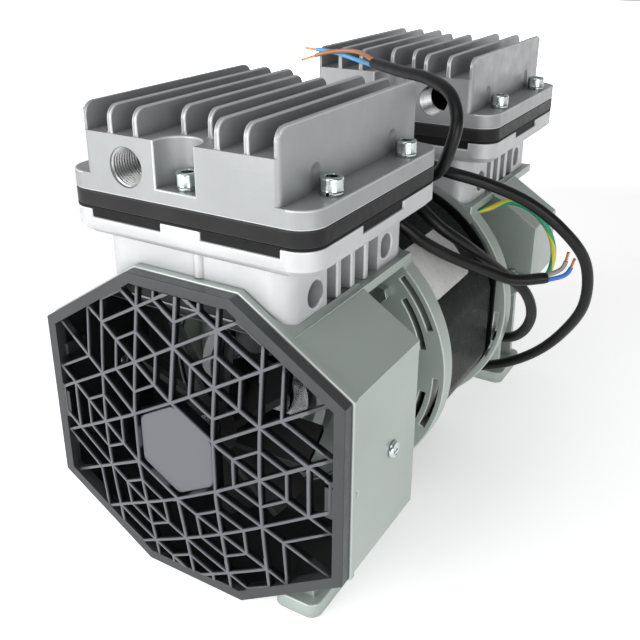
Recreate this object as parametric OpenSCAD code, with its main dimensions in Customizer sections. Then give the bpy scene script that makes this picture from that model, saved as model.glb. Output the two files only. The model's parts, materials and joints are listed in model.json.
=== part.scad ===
// Twin cylinder oil-free compressor pump head with its motor in the middle.
// X runs across the unit, Y runs from the grille to the back along the shaft, Z is up.
// Stations along Y are measured from the front face of the grille rim, and heights from the shaft axis.
// The whole unit is then moved so that its origin is the centre of its base on the floor.

/* [Overall] */
// Height of the shaft axis above the floor
shaft_h = 74; // [72:0.5:90]
// Distance between the two cylinder axes along the shaft
cylinder_pitch = 167; // [164:1:190]
// Distance from the grille rim to the front cylinder axis
cylinder_y = 57; // [56:0.5:60]

/* [Grille and fan housing] */
// Width of the octagonal rim across its flat sides
rim_w = 140; // [136:1:150]
// Height of the octagonal rim
rim_h = 134; // [132:0.5:140]
// Length of the flat top edge of the rim
rim_top = 48; // [44:1:56]
// Length of the flat side edge of the rim
rim_side = 75; // [70:1:80]
// Thickness of the rim
rim_t = 5; // [4:0.5:6]
// Width of the rim face around the window
rim_face = 4.4; // [3:0.2:6]
// Distance between neighbouring ribs of the lattice
rib_pitch = 18.8; // [18:0.2:22]
// Width of a lattice rib
rib_w = 1.3; // [1.1:0.1:2.2]
// Depth of a lattice rib
rib_t = 3; // [2:0.2:4]
// Height that the middle of the lattice stands in front of the rim
dome_h = 7; // [3:0.5:9]
// Distance from the rim to the back of the fan housing
housing_back = 60; // [59:0.5:62]
// Wall thickness of the crankcase
case_wall = 3; // [2.5:0.5:4]

/* [Crankcase and motor flange] */
// Radius of the round motor flange
flange_r = 67.5; // [66:0.5:72]
// Thickness of the motor flange
flange_t = 9; // [7:0.5:11]
// Length of the motor shell between the two flanges
shell_l = 71; // [68:1:94]
// Radius of the neck round the crank
neck_r = 54; // [53:0.5:56]
// Radius of the crank chamber
chamber_r = 49; // [45:0.5:49.5]
// Spacing of the mounting holes across the unit
foot_x = 88.9; // [84:0.1:90]
// Spacing of the mounting holes along the unit
foot_y = 203.2; // [196:0.1:212]
// Radius of a mounting hole
foot_hole_r = 3.3; // [2.5:0.1:4]

/* [Cylinder] */
// Bore of the cylinder liner
bore_d = 63; // [58:0.5:63.5]
// Wall thickness of the liner
liner_wall = 2; // [1.5:0.1:2.5]
// Width of the cylinder block below its flange
block_w = 84; // [80:1:88]
// Length of the cylinder block along the shaft
block_l = 96; // [92:1:98]
// Height of the deck that carries the block, above the shaft axis
deck_z = 54; // [52.5:0.5:56]
// Height of the top face of the block above the shaft axis
block_top = 87.6; // [86:0.2:92]
// Thickness of the flange on top of the block
block_flange_t = 10.3; // [9:0.1:12]
// Width of the flange, the valve plate and the head
plate_w = 109.2; // [106:0.2:114]
// Length of the flange, the valve plate and the head
plate_l = 104.8; // [102:0.2:108]
// Radius of the corners of the flange, the valve plate and the head
plate_corner_r = 10; // [6:0.5:13]
// Thickness of the gasket between block and valve plate
gasket_t = 0.8; // [0.5:0.1:1.2]
// Thickness of the valve plate
valve_plate_t = 6.2; // [5:0.1:8]

/* [Head] */
// Thickness of the ledge of the head
ledge_t = 7; // [6:0.2:9]
// Width of the raised middle of the head
head_w = 84.8; // [80:0.2:88]
// Height from the underside of the head to the roof between the fins
roof_h = 22.9; // [22.9:0.1:26]
// Height of the fins above the roof
fin_h = 10; // [8:0.2:14]
// Thickness of a fin
fin_t = 2.1; // [1.8:0.1:3.4]
// Number of fins
fin_count = 8; // [6:2:8]
// Thread root radius of the air ports, three eighths of an inch pipe thread
port_r = 7.45; // [6:0.05:7.45]
// Distance of a port from the middle of the head
port_x = 22.9; // [20:0.1:24]
// Height of a port above the underside of the head
port_z = 11.3; // [11:0.1:13]

/* [Crank drive] */
// Throw of each crank, half the stroke
throw = 7; // [5:0.5:7]
// Radius of the crank pin
pin_r = 7.5; // [6:0.1:8]
// Outer radius of the crank bearing
crank_bearing_r = 17.5; // [16:0.5:17.5]
// Radius of the motor shaft
shaft_r = 8.5; // [7:0.1:9]
// Outer radius of the main bearings
main_bearing_r = 20; // [18:0.5:21]
// Radius of the fans
fan_r = 45; // [40:0.5:46]
// Number of blades on a fan
blade_count = 9; // [5:1:11]

/* [Motor] */
// Radius of the motor shell
shell_r = 64; // [62:0.5:65]
// Distance of the flat sides of the shell from the shaft axis
shell_flat = 61.5; // [60:0.5:62]
// Outer radius of the rotor
rotor_r = 33; // [30:0.5:34]
// Air gap between rotor and stator
air_gap = 0.4; // [0.3:0.05:0.6]
// Length of the stator core
core_l = 38; // [34:1:40]

/* [Hidden] */

$fn = 64;
facet_fn = 32;

// Overrun of a cut past the face it opens
cut = 1;
// Clearance of a fit that runs or slides
run_fit = 0.05;
// Clearance of a screw in its hole
screw_fit = 0.25;
// Gap between parts that must not touch
free_gap = 0.35;

// Stations of the front unit along the shaft
flange_y1 = cylinder_y + (cylinder_pitch - shell_l) / 2;
flange_y0 = flange_y1 - flange_t;
mirror_y = cylinder_y + cylinder_pitch / 2;
plate_shift = -0.4;
plate_y0 = cylinder_y - plate_l / 2 + plate_shift;
plate_yc = plate_y0 + plate_l / 2;
y_front = -dome_h;
y_back = 2 * mirror_y - plate_y0;

// Heights of the stack above the shaft axis
gasket_z = block_top;
plate_z = gasket_z + gasket_t;
head_z = plate_z + valve_plate_t;
ledge_z = head_z + ledge_t;
roof_z = head_z + roof_h;
fin_z = roof_z + fin_h;

module to_floor() translate([0, -(y_front + y_back) / 2, shaft_h]) children();
module front() to_floor() children();
module rear() to_floor() translate([0, 2 * mirror_y, 0]) mirror([0, 1, 0]) children();

// Extrudes an outline drawn in X and Z along Y
module along_y(y0, y1) translate([0, y1, 0]) rotate([90, 0, 0]) linear_extrude(y1 - y0) children();
module along_x(x0, x1) translate([x0, 0, 0]) rotate([90, 0, 90]) linear_extrude(x1 - x0) children();
module rod_y(r, y0, y1, x = 0, z = 0) translate([x, y1, z]) rotate([90, 0, 0]) cylinder(r = r, h = y1 - y0);
module rod_x(r, x0, x1, y = 0, z = 0) translate([x0, y, z]) rotate([0, 90, 0]) cylinder(r = r, h = x1 - x0);
module box(x0, x1, y0, y1, z0, z1) translate([x0, y0, z0]) cube([x1 - x0, y1 - y0, z1 - z0]);
module both_sides() {
    children();
    mirror([1, 0, 0]) children();
}
// Repeats children at the front and the back of a unit, mirrored about its cylinder axis
module both_ends(yc = plate_yc) {
    children();
    translate([0, 2 * yc, 0]) mirror([0, 1, 0]) children();
}

module rounded_rect(w, l, r, yc) {
    translate([0, yc]) {
        square([w - 2 * r, l], center = true);
        square([w, l - 2 * r], center = true);
        for (sx = [-1, 1])
            for (sy = [-1, 1])
                translate([sx * (w / 2 - r), sy * (l / 2 - r)]) circle(r);
    }
}

// Octagonal outline of the rim, moved inward by d
function octagon(d = 0) =
    let (w = rim_w / 2, h = rim_h / 2, t = rim_top / 2, s = rim_side / 2,
         slope = atan2(h - s, w - t),
         ti = t - d * tan(slope / 2), si = s - d * tan((90 - slope) / 2),
         wi = w - d, hi = h - d)
    [[-ti, hi], [ti, hi], [wi, si], [wi, -si], [ti, -hi], [-ti, -hi], [-wi, -si], [-wi, si]];
rim_slope = atan2(rim_h - rim_side, rim_w - rim_top);
// Height of the sloping upper side of the octagon at a distance x from the middle
function slope_z(x) = rim_h / 2 - (x - rim_top / 2) * tan(rim_slope);

// Fan grille
cell_r = rib_pitch / cos(30);
ring_share = 0.56;
fork_share = 1.5;
plate_share = 0.86;
plate_in = 2.3;
plate_t = 3.2;
far_share = 0.6;
groove_t = 1.8;
lattice_reach = 5;
tab_w = 3.2;
tab_h = 13;
tab_t = 2.4;
tab_z = -2.5;
catch_l = 9;
catch_w = 5;
catch_t = 1.6;
catch_gap = 1.4;
catch_z = 22;

module hexagon(r) rotate(30) circle(r, $fn = 6);
module hexagon_ring(r) {
    difference() {
        hexagon(r + rib_w / 2);
        hexagon(r - rib_w / 2);
    }
}
module lattice_ribs() {
    for (turn = [0, 60, 120])
        rotate(turn)
            for (i = [-lattice_reach:lattice_reach])
                translate([i * rib_pitch, 0]) square([rib_w, 2 * rim_w], center = true);
}
module lattice_rings() {
    for (i = [-2:2])
        for (j = [-2:2])
            translate([(2 * i + j) * rib_pitch, j * 2 * rib_pitch * sin(60)])
                hexagon_ring(cell_r * ring_share);
}
module corner_cells() {
    for (side = [-1, 1])
        for (end = [-1, 1])
            translate([side * 3 * rib_pitch, end * 3 * rib_pitch * tan(30)]) hexagon(cell_r - rib_w / 2);
}
// Each corner cell holds only the rib from the middle and two more that fork from it to the rim
module corner_ribs() {
    for (turn = [60, 120])
        rotate(turn) square([rib_w, 2 * rim_w], center = true);
    for (turn = [30, 150, 210, 330])
        rotate(turn)
            translate([cell_r * (3 - ring_share + fork_share), 0])
                rotate(-turn) hexagon_ring(cell_r * fork_share);
}
module lattice() {
    intersection() {
        polygon(octagon(rim_face));
        union() {
            difference() {
                union() {
                    lattice_ribs();
                    lattice_rings();
                }
                hexagon(cell_r);
                corner_cells();
            }
            intersection() {
                corner_cells();
                corner_ribs();
            }
            hexagon(cell_r + rib_w / 2);
        }
    }
}
// Solid of revolution between the front and the back surface of the domed lattice
module dome_shell() {
    flat_r = cell_r + rib_w;
    edge_r = rim_w / 2 - rim_face;
    far_r = rim_w * far_share;
    drop = dome_h * (far_r - flat_r) / (edge_r - flat_r);
    rotate([90, 0, 0])
        rotate_extrude()
            polygon([[0, dome_h], [flat_r, dome_h], [far_r, dome_h - drop],
                     [far_r, dome_h - drop - rib_t], [flat_r, dome_h - rib_t], [0, dome_h - rib_t]]);
}
module front_grille() color([0.20, 0.20, 0.22]) front() {
    difference() {
        union() {
            along_y(0, rim_t)
                difference() {
                    polygon(octagon());
                    polygon(octagon(rim_face));
                }
            intersection() {
                along_y(-dome_h - cut, rim_t) lattice();
                dome_shell();
            }
            along_y(plate_in - dome_h, plate_in + plate_t - dome_h) hexagon(cell_r + rib_w / 2);
            both_sides()
                box(rim_w / 2 - rim_face - tab_w, rim_w / 2 - rim_face, 0, tab_t, tab_z - tab_h / 2, tab_z + tab_h / 2);
            both_sides()
                for (side = [-1, 1])
                    box(rim_w / 2 - case_wall - catch_gap - catch_t, rim_w / 2 - case_wall - catch_gap,
                        rim_t - catch_t, rim_t + catch_l, side * catch_z - catch_w / 2, side * catch_z + catch_w / 2);
        }
        along_y(-dome_h - cut, plate_in - dome_h) hexagon(cell_r - rib_w / 2);
        along_y(-dome_h - cut, plate_in + groove_t - dome_h)
            difference() {
                hexagon(cell_r - rib_w / 2);
                hexagon(cell_r * plate_share);
            }
    }
}

// Crankcase
lip_out = 0.8;
lip_t = 3;
boss_wall = 4.5;
bearing_w = 12;
bearing_lip = 3;
bearing_shoulder = 3;
neck_l = 13;
chamber_y1 = housing_back + neck_l;
web_t = 4;
deck_t = 4;
deck_w = block_w + 2 * case_wall;
slot_w = 2.6;
slot_in = 4;
slot_r = flange_r - slot_in;
slot_step = 5.5;
slot_span = 24;
slot_count = 8;
bolt_r = 2.5;
bolt_ring_r = 51;
foot_w = 21;
foot_l = 37;
foot_t = 7;
leg_wall = 4;
foot_round = 5;
foot_in = 3;
foot_gap = 10;
side_hole_r = 2;
side_hole_y = 38.5;
clip_hole_r = 1.3;
clip_hole_y = 9.5;
clip_hole_z = -2.7;
block_y0 = plate_yc - block_l / 2;
block_y1 = plate_yc + block_l / 2;
bore_r = bore_d / 2;
liner_r = bore_r + liner_wall;

module block_outline() rounded_rect(block_w, block_l, block_corner_r, plate_yc);
block_corner_r = 9;

module main_bearing_seat() {
    rod_y(main_bearing_r + run_fit, flange_y1 - bearing_lip - bearing_w, flange_y1 + cut);
    rod_y(main_bearing_r - bearing_shoulder, chamber_y1 - cut, flange_y1);
}
module flange_slots() {
    for (i = [0:slot_count - 1])
        for (ring = [0, 1])
            rotate([0, i * 360 / slot_count + ring * slot_span / 3, 0])
                translate([0, flange_y0 - cut, 0])
                    rotate([-90, 0, 0])
                        rotate_extrude(angle = slot_span)
                            translate([slot_r - ring * slot_step - slot_w / 2, 0])
                                square([slot_w, flange_t + 2 * cut]);
}
module tie_bolt_places(r) {
    for (turn = [45:90:315])
        rotate([0, turn, 0])
            translate([r, 0, 0]) children();
}
module crankcase_core() {
    rod_y(neck_r, housing_back - web_t, chamber_y1 + web_t);
    rod_y(main_bearing_r + boss_wall, chamber_y1, flange_y1);
    rod_y(flange_r, flange_y0, flange_y1);
    box(-deck_w / 2, deck_w / 2, block_y0, block_y1, deck_z - deck_t, deck_z);
}
module crankcase_cuts() {
    translate([0, 0, deck_z]) linear_extrude(block_top) block_outline();
    translate([0, cylinder_y, deck_z - deck_t - cut]) cylinder(r = liner_r - liner_wall / 2, h = deck_t + 2 * cut);
    intersection() {
        translate([0, cylinder_y, 0]) cylinder(r = liner_r - liner_wall / 2, h = deck_z);
        box(-rim_w, rim_w, 0, chamber_y1, 0, deck_z);
    }
    main_bearing_seat();
    flange_slots();
    tie_bolt_places(bolt_ring_r) rod_y(bolt_r + screw_fit, flange_y0 - cut, flange_y1 + cut);
}
module front_crankcase() color([0.72, 0.76, 0.74]) front() {
    difference() {
        union() {
            difference() {
                union() {
                    along_y(rim_t, housing_back) polygon(octagon());
                    along_y(rim_t, rim_t + lip_t) polygon(octagon(-lip_out));
                }
                along_y(rim_t - cut, housing_back - web_t) polygon(octagon(case_wall));
            }
            difference() {
                crankcase_core();
                rod_y(chamber_r, housing_back - web_t - cut, chamber_y1);
            }
            both_sides() front_foot();
        }
        rod_y(chamber_r, housing_back - web_t - cut, chamber_y1);
        crankcase_cuts();
        both_sides() foot_hole();
        both_sides() {
            rod_x(side_hole_r, rim_w / 2 - case_wall - cut, rim_w / 2 + cut, side_hole_y, 0);
            rod_x(clip_hole_r, rim_w / 2 - case_wall - cut, rim_w / 2 + lip_out + cut, clip_hole_y, clip_hole_z);
        }
    }
}
// Foot with its pad flat on the floor, a wall above its inner edge and a gusset at each end
foot_hole_y = mirror_y - foot_y / 2;
foot_x0 = foot_x / 2 - foot_in - foot_w / 2;
foot_x1 = foot_x0 + foot_w;
foot_y0 = foot_hole_y + foot_gap - foot_l;
foot_y1 = foot_y0 + foot_l;
module foot(top_z) {
    translate([foot_x0 + foot_w / 2, (foot_y0 + foot_y1) / 2, -shaft_h])
        linear_extrude(foot_t) rounded_rect(foot_w, foot_l, foot_round, 0);
    box(foot_x0, foot_x0 + leg_wall, foot_y0 + foot_round, foot_y1 - foot_round, -shaft_h, top_z);
    for (y = [foot_y0 + foot_round, foot_y1 - foot_round - leg_wall])
        along_y(y, y + leg_wall)
            polygon([[foot_x0, -shaft_h], [foot_x1 - leg_wall, foot_t - shaft_h],
                     [foot_x1 - foot_round, top_z], [foot_x0, top_z]]);
}
module foot_hole() {
    translate([foot_x / 2, foot_hole_y, -shaft_h - cut]) cylinder(r = foot_hole_r, h = foot_t + 2 * cut);
}
module front_foot() {
    difference() {
        foot(-slope_z(foot_x1) + case_wall / 2);
        along_y(rim_t, housing_back) polygon(octagon(case_wall / 2));
    }
}

// Rear crankcase: a round case with wide shoulders under its cylinder and two legs
rear_case_r = 50;
rear_case_reach = 38;
shoulder_front = 21;
shoulder_back = 16;
rear_case_y0 = cylinder_y - rear_case_reach;
shoulder_y0 = cylinder_y - shoulder_front;
shoulder_y1 = cylinder_y + shoulder_back;
shoulder_drop = 6;
leg_top = 16;
cover_t = 3;
cover_depth = 8;
cover_screw_r = 2;
cover_screw_count = 6;
cover_ring_share = 0.945;

module shoulders() {
    along_y(shoulder_y0, shoulder_y1)
        intersection() {
            polygon(octagon());
            polygon([[-rim_w, rim_h], [rim_w, rim_h], [rim_w, shoulder_drop + rim_w / 2],
                     [rim_w / 2, shoulder_drop], [0, shoulder_drop - rim_w / 2],
                     [-rim_w / 2, shoulder_drop], [-rim_w, shoulder_drop + rim_w / 2]]);
        }
}
module rear_foot() {
    difference() {
        foot(-leg_top);
        rod_y(rear_case_r - case_wall, 0, housing_back);
        rod_y(rear_case_r + free_gap, 0, rear_case_y0);
    }
}
module rear_crankcase() color([0.70, 0.73, 0.73]) rear() {
    difference() {
        union() {
            rod_y(rear_case_r, rear_case_y0, chamber_y1);
            crankcase_core();
            shoulders();
            both_sides() rear_foot();
        }
        rod_y(rear_case_r - case_wall, rear_case_y0 - cut, housing_back);
        rod_y(chamber_r - case_wall, housing_back - cut, chamber_y1);
        crankcase_cuts();
        both_sides() foot_hole();
        gland_places() rod_y(gland_shank_r, flange_y0 - cut, flange_y1 + cut);
        rod_y(side_hole_r, shoulder_y1 - 2 * case_wall, shoulder_y1 + cut, x = earth_x, z = earth_z);
        for (i = [0:cover_screw_count - 1])
            rotate([0, i * 360 / cover_screw_count + 30, 0])
                rod_y(cover_screw_r, rear_case_y0 - cut, rear_case_y0 + cover_depth,
                      x = rear_case_r * cover_ring_share);
    }
}

// Places of the two cable glands on the rear motor flange, across and above the shaft axis
gland_shank_r = 3.8;
gland_spots = [[44, -24], [22, -45]];
module gland_places() {
    for (spot = gland_spots)
        translate([spot[0], 0, spot[1]]) children();
}

// Cylinder block
flange_taper = 3;
pocket_count = 4;
pocket_rib = 3.4;
pocket_depth = 6;
pocket_share = 0.43;
recess_r = 5.2;
recess_t = 6;
recess_z = 62.5;
recess_gap = 8;
post_r = 2.6;
post_x = 4.4;
post_z = rim_h / 2 + lip_out + free_gap;
post_y = plate_y0 + flange_taper + post_r;
notch_t = 3.4;
notch_in = 3;
notch_x0 = 9;
notch_x1 = 42;
notch_side = 33;
liner_seat_t = 4;
liner_seat_z = deck_z + liner_seat_t;
head_screw_r = 2.5;
head_screw_side_in = 6;
head_screw_corner_in = 22.9;
head_screw_end_in = 6.4;
head_screw_x = plate_w / 2 - head_screw_side_in;
head_screw_dy = plate_l / 2 - head_screw_corner_in;
head_screw_end_y = plate_l / 2 - head_screw_end_in;

// Places of the six head screws
module head_screw_places() {
    for (sx = [-1, 1])
        for (sy = [-1, 1])
            translate([sx * head_screw_x, plate_yc + sy * head_screw_dy, 0]) children();
    for (sy = [-1, 1])
        translate([0, plate_yc + sy * head_screw_end_y, 0]) children();
}
module plate_outline(d = 0) rounded_rect(plate_w - 2 * d, plate_l - 2 * d, plate_corner_r - d, plate_yc);
module side_pockets() {
    span = block_l * pocket_share;
    pocket_w = (span - (pocket_count - 1) * pocket_rib) / pocket_count;
    for (i = [0:pocket_count - 1]) {
        y0 = plate_yc - span / 2 + i * (pocket_w + pocket_rib);
        box(block_w / 2 - pocket_depth, block_w / 2 + cut, y0, y0 + pocket_w,
            deck_z - cut, block_top - block_flange_t);
    }
}
module recess_places() {
    for (side = [-1, 1])
        translate([0, plate_yc + side * (block_l * pocket_share / 2 + recess_gap), recess_z]) children();
}
module block() {
    difference() {
        union() {
            translate([0, 0, deck_z]) linear_extrude(block_top - block_flange_t - deck_z + cut) block_outline();
            hull() {
                translate([0, 0, block_top - block_flange_t])
                    linear_extrude(cut) plate_outline(flange_taper, $fn = facet_fn);
                translate([0, 0, block_top - block_flange_t + flange_taper])
                    linear_extrude(cut) plate_outline($fn = facet_fn);
            }
            translate([0, 0, block_top - block_flange_t + flange_taper])
                linear_extrude(block_flange_t - flange_taper) plate_outline();
            both_ends()
                translate([post_x, post_y, post_z])
                    cylinder(r = post_r, h = block_top - block_flange_t + cut - post_z);
        }
        translate([0, cylinder_y, deck_z - cut]) cylinder(r = liner_r - liner_wall / 2, h = block_top);
        translate([0, cylinder_y, liner_seat_z]) cylinder(r = liner_r + run_fit, h = block_top);
        both_sides() side_pockets();
        both_sides()
            recess_places() rod_x(recess_r, block_w / 2 - recess_t, block_w / 2 + cut);
        both_sides()
            recess_places() rod_x(side_hole_r, block_w / 2 - 2 * recess_t, block_w / 2);
        both_sides()
            both_ends()
                box(notch_x0, notch_x1, plate_y0 - cut, plate_y0 + notch_in, block_top - notch_t, block_top + cut);
        both_sides()
            box(plate_w / 2 - notch_in, plate_w / 2 + cut, plate_yc - notch_side / 2, plate_yc + notch_side / 2,
                block_top - notch_t, block_top + cut);
        head_screw_places()
            translate([0, 0, block_top - block_flange_t + flange_taper])
                cylinder(r = head_screw_r + run_fit, h = block_flange_t);
    }
}
module front_block() color([0.78, 0.79, 0.79]) front() block();
module rear_block() color([0.78, 0.79, 0.79]) rear() block();

module liner() {
    translate([0, cylinder_y, liner_seat_z])
        difference() {
            cylinder(r = liner_r, h = block_top - liner_seat_z);
            translate([0, 0, -cut]) cylinder(r = bore_r, h = block_top);
        }
}
module front_liner() color([0.85, 0.86, 0.87]) front() liner();
module rear_liner() color([0.85, 0.86, 0.87]) rear() liner();

// Gasket with lips that hang down into the notches of the block
gasket_lip_in = 0.6;
module gasket_lips() {
    z0 = block_top - notch_t + free_gap;
    z1 = block_top + gasket_t / 2;
    both_sides()
        both_ends()
            box(notch_x0 + free_gap, notch_x1 - free_gap, plate_y0 + gasket_lip_in, plate_y0 + notch_in - free_gap,
                z0, z1);
    both_sides()
        box(plate_w / 2 - notch_in + free_gap, plate_w / 2 - gasket_lip_in, plate_yc - notch_side / 2 + free_gap,
            plate_yc + notch_side / 2 - free_gap, z0, z1);
}
module gasket() {
    translate([0, 0, gasket_z])
        difference() {
            linear_extrude(gasket_t) plate_outline();
            translate([0, cylinder_y, -cut]) cylinder(r = bore_r, h = block_top);
            head_screw_places() translate([0, 0, -cut]) cylinder(r = head_screw_r + screw_fit, h = block_top);
        }
    gasket_lips();
}
module front_gasket() color([0.10, 0.10, 0.11]) front() gasket();
module rear_gasket() color([0.10, 0.10, 0.11]) rear() gasket();

// Valve plate with a row of ports under each reed
vent_r = 2.4;
vent_pitch = 6.5;
vent_share = 0.7;
reed_l = 20;
reed_w = 20;
reed_t = 0.3;
reed_gap = 0.1;
reed_root = 5;
reed_x0 = 8;
rivet_r = 1.5;
rivet_head_r = 2.4;
rivet_head_t = 0.7;
rivet_gap = 0.45;
rivet_dy = 6;

module vents(side) {
    for (i = [-1:1])
        translate([side * (reed_x0 + reed_l * vent_share), cylinder_y + i * vent_pitch, -cut])
            cylinder(r = vent_r, h = valve_plate_t + 2 * cut);
}
module valve_plate() {
    translate([0, 0, plate_z])
        difference() {
            linear_extrude(valve_plate_t) plate_outline();
            for (side = [-1, 1]) vents(side);
            head_screw_places() translate([0, 0, -cut]) cylinder(r = head_screw_r + screw_fit, h = block_top);
            rivet_places(-1) cylinder(r = rivet_r, h = 2 * valve_plate_t, center = true);
            translate([0, 0, valve_plate_t])
                rivet_places(1) cylinder(r = rivet_r, h = valve_plate_t, center = true);
        }
}
module front_valve_plate() color([0.13, 0.13, 0.14]) front() valve_plate();
module rear_valve_plate() color([0.13, 0.13, 0.14]) rear() valve_plate();

module rivet_places(side) {
    for (i = [-1, 1])
        translate([side * (reed_x0 + reed_root / 2), cylinder_y + i * rivet_dy, 0]) children();
}
// Thin steel reed, its root end near the middle of the head
module reed(side, z) {
    difference() {
        translate([min(side * reed_x0, side * (reed_x0 + reed_l)), cylinder_y - reed_w / 2, z])
            cube([reed_l, reed_w, reed_t]);
        translate([0, 0, z]) rivet_places(side) cylinder(r = rivet_r + rivet_gap, h = 4 * reed_t, center = true);
    }
}
inlet_reed_z = plate_z - reed_gap - reed_t;
outlet_reed_z = head_z + reed_gap;
module front_inlet_reed() color([0.62, 0.64, 0.66]) front() reed(-1, inlet_reed_z);
module front_outlet_reed() color([0.62, 0.64, 0.66]) front() reed(1, outlet_reed_z);
module rear_inlet_reed() color([0.62, 0.64, 0.66]) rear() reed(-1, inlet_reed_z);
module rear_outlet_reed() color([0.62, 0.64, 0.66]) rear() reed(1, outlet_reed_z);

module rivet(z, up) {
    shank_l = valve_plate_t / 3 + reed_t + rivet_gap;
    head_z0 = reed_t + reed_gap + rivet_gap;
    translate([0, 0, z])
        mirror([0, 0, up ? 0 : 1]) {
            translate([0, 0, head_z0 - shank_l]) cylinder(r = rivet_r, h = shank_l);
            translate([0, 0, head_z0]) cylinder(r = rivet_head_r, h = up ? rivet_head_t : rivet_head_t / 2);
        }
}
module reed_rivets() {
    rivet_places(-1) rivet(plate_z, false);
    rivet_places(1) rivet(head_z, true);
}
module front_reed_rivets() color([0.70, 0.71, 0.72]) front() reed_rivets();
module rear_reed_rivets() color([0.70, 0.71, 0.72]) rear() reed_rivets();

// Head with its ledge, air chambers, fins, screw pockets and ports
chamber_wall = 3.5;
chamber_mid = 4;
chamber_roof = 5.5;
chamber_end = 16;
pocket_x0 = -9.4;
pocket_x1 = 8.1;
pocket_y = 11.2;
pocket_floor = 5.5;
fin_setback = 12.1;
fin_round = 5;
fin_start = 0.6;
scoop_r = 7.2;
scoop_h = 6.5;
port_chamfer = 0.25;

module fin(x, setback) {
    y0 = plate_y0 + fin_start + setback;
    y1 = 2 * plate_yc - y0;
    r = min(fin_round, fin_h);
    along_x(x - fin_t / 2, x + fin_t / 2) {
        translate([y0, roof_z - cut]) square([y1 - y0, fin_h - r + cut]);
        translate([y0 + r, roof_z]) square([y1 - y0 - 2 * r, fin_h]);
        translate([y0 + r, fin_z - r]) circle(r);
        translate([y1 - r, fin_z - r]) circle(r);
    }
}
module fins() {
    pitch = (head_w - fin_t) / (fin_count - 1);
    for (i = [0:fin_count - 1]) {
        x = -head_w / 2 + fin_t / 2 + i * pitch;
        fin(x, abs(x) < pitch ? fin_setback : 0);
    }
}
module air_chamber(side) {
    x0 = chamber_mid / 2;
    x1 = head_w / 2 - chamber_wall;
    box(side > 0 ? x0 : -x1, side > 0 ? x1 : -x0, plate_y0 + chamber_end, 2 * plate_yc - plate_y0 - chamber_end,
        head_z - cut, roof_z - chamber_roof);
}
module port(side) {
    translate([side * port_x, plate_y0, head_z + port_z])
        rotate([-90, 0, 0]) {
            translate([0, 0, -cut]) cylinder(r = port_r, h = chamber_end + 2 * cut);
            translate([0, 0, -port_chamfer]) cylinder(r1 = port_r + 2 * port_chamfer, r2 = port_r, h = 2 * port_chamfer);
        }
}
// Pocket for the end screw, rounded at its back
module end_pocket() {
    mid = (pocket_x0 + pocket_x1) / 2;
    r = (pocket_x1 - pocket_x0) / 2;
    translate([0, 0, head_z + pocket_floor])
        linear_extrude(roof_h + fin_h) {
            translate([pocket_x0, plate_y0 - cut]) square([pocket_x1 - pocket_x0, pocket_y - r + cut]);
            translate([mid, plate_y0 + pocket_y - r]) circle(r);
        }
}
module side_scoop() {
    translate([0, 0, ledge_z]) cylinder(r = scoop_r, h = scoop_h);
    translate([0, 0, ledge_z + scoop_h]) sphere(r = scoop_r);
}
module head() {
    difference() {
        union() {
            translate([0, 0, head_z]) linear_extrude(ledge_t) plate_outline();
            translate([0, 0, head_z])
                linear_extrude(roof_h)
                    translate([-head_w / 2, plate_y0]) square([head_w, plate_l]);
            fins();
        }
        for (side = [-1, 1]) air_chamber(side);
        port(-1);
        translate([0, 2 * plate_yc, 0]) mirror([0, 1, 0]) port(1);
        both_ends() end_pocket();
        for (sx = [-1, 1])
            for (sy = [-1, 1])
                translate([sx * head_screw_x, plate_yc + sy * head_screw_dy, 0]) side_scoop();
        head_screw_places()
            translate([0, 0, head_z - cut]) cylinder(r = head_screw_r + screw_fit, h = roof_h);
        head_corner_cut();
    }
}
// Trims the raised middle to the rounded corners of the ledge
module head_corner_cut() {
    translate([0, 0, ledge_z])
        linear_extrude(roof_h)
            difference() {
                translate([0, plate_yc]) square([plate_w + cut, plate_l + cut], center = true);
                rounded_rect(head_w, plate_l, head_corner_r, plate_yc);
            }
}
head_corner_r = 2.5;
module front_head() color([0.80, 0.81, 0.81]) front() head();
module rear_head() color([0.80, 0.81, 0.81]) rear() head();

// Socket cap screws with spring washers
screw_head_r = 4.25;
screw_head_h = 5;
screw_length = 20;
socket_r = 2.3;
socket_t = 2.6;
washer_t = 1.3;
washer_r = 4.3;
washer_gap = 0.9;

module head_screw(z) {
    translate([0, 0, z - screw_length]) cylinder(r = head_screw_r, h = screw_length + cut);
    translate([0, 0, z])
        difference() {
            cylinder(r = screw_head_r, h = screw_head_h);
            translate([0, 0, screw_head_h - socket_t]) cylinder(r = socket_r, h = socket_t + cut, $fn = 6);
        }
}
module spring_washer(z) {
    translate([0, 0, z])
        difference() {
            cylinder(r = washer_r, h = washer_t);
            translate([0, 0, -cut]) cylinder(r = head_screw_r + screw_fit, h = washer_t + 2 * cut);
            translate([-washer_gap / 2, 0, -cut]) cube([washer_gap, washer_r + cut, washer_t + 2 * cut]);
        }
}
module head_screw_set(washers) {
    for (sx = [-1, 1])
        for (sy = [-1, 1])
            translate([sx * head_screw_x, plate_yc + sy * head_screw_dy, 0])
                one_head_screw(ledge_z, washers);
    for (sy = [-1, 1])
        translate([0, plate_yc + sy * head_screw_end_y, 0])
            one_head_screw(head_z + pocket_floor, washers);
}
module one_head_screw(z, washers) {
    if (washers) spring_washer(z);
    else head_screw(z + washer_t);
}
module front_head_screws() color([0.80, 0.83, 0.83]) front() head_screw_set(false);
module rear_head_screws() color([0.80, 0.83, 0.83]) rear() head_screw_set(false);
module front_head_washers() color([0.76, 0.78, 0.78]) front() head_screw_set(true);
module rear_head_washers() color([0.76, 0.78, 0.78]) rear() head_screw_set(true);

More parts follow.
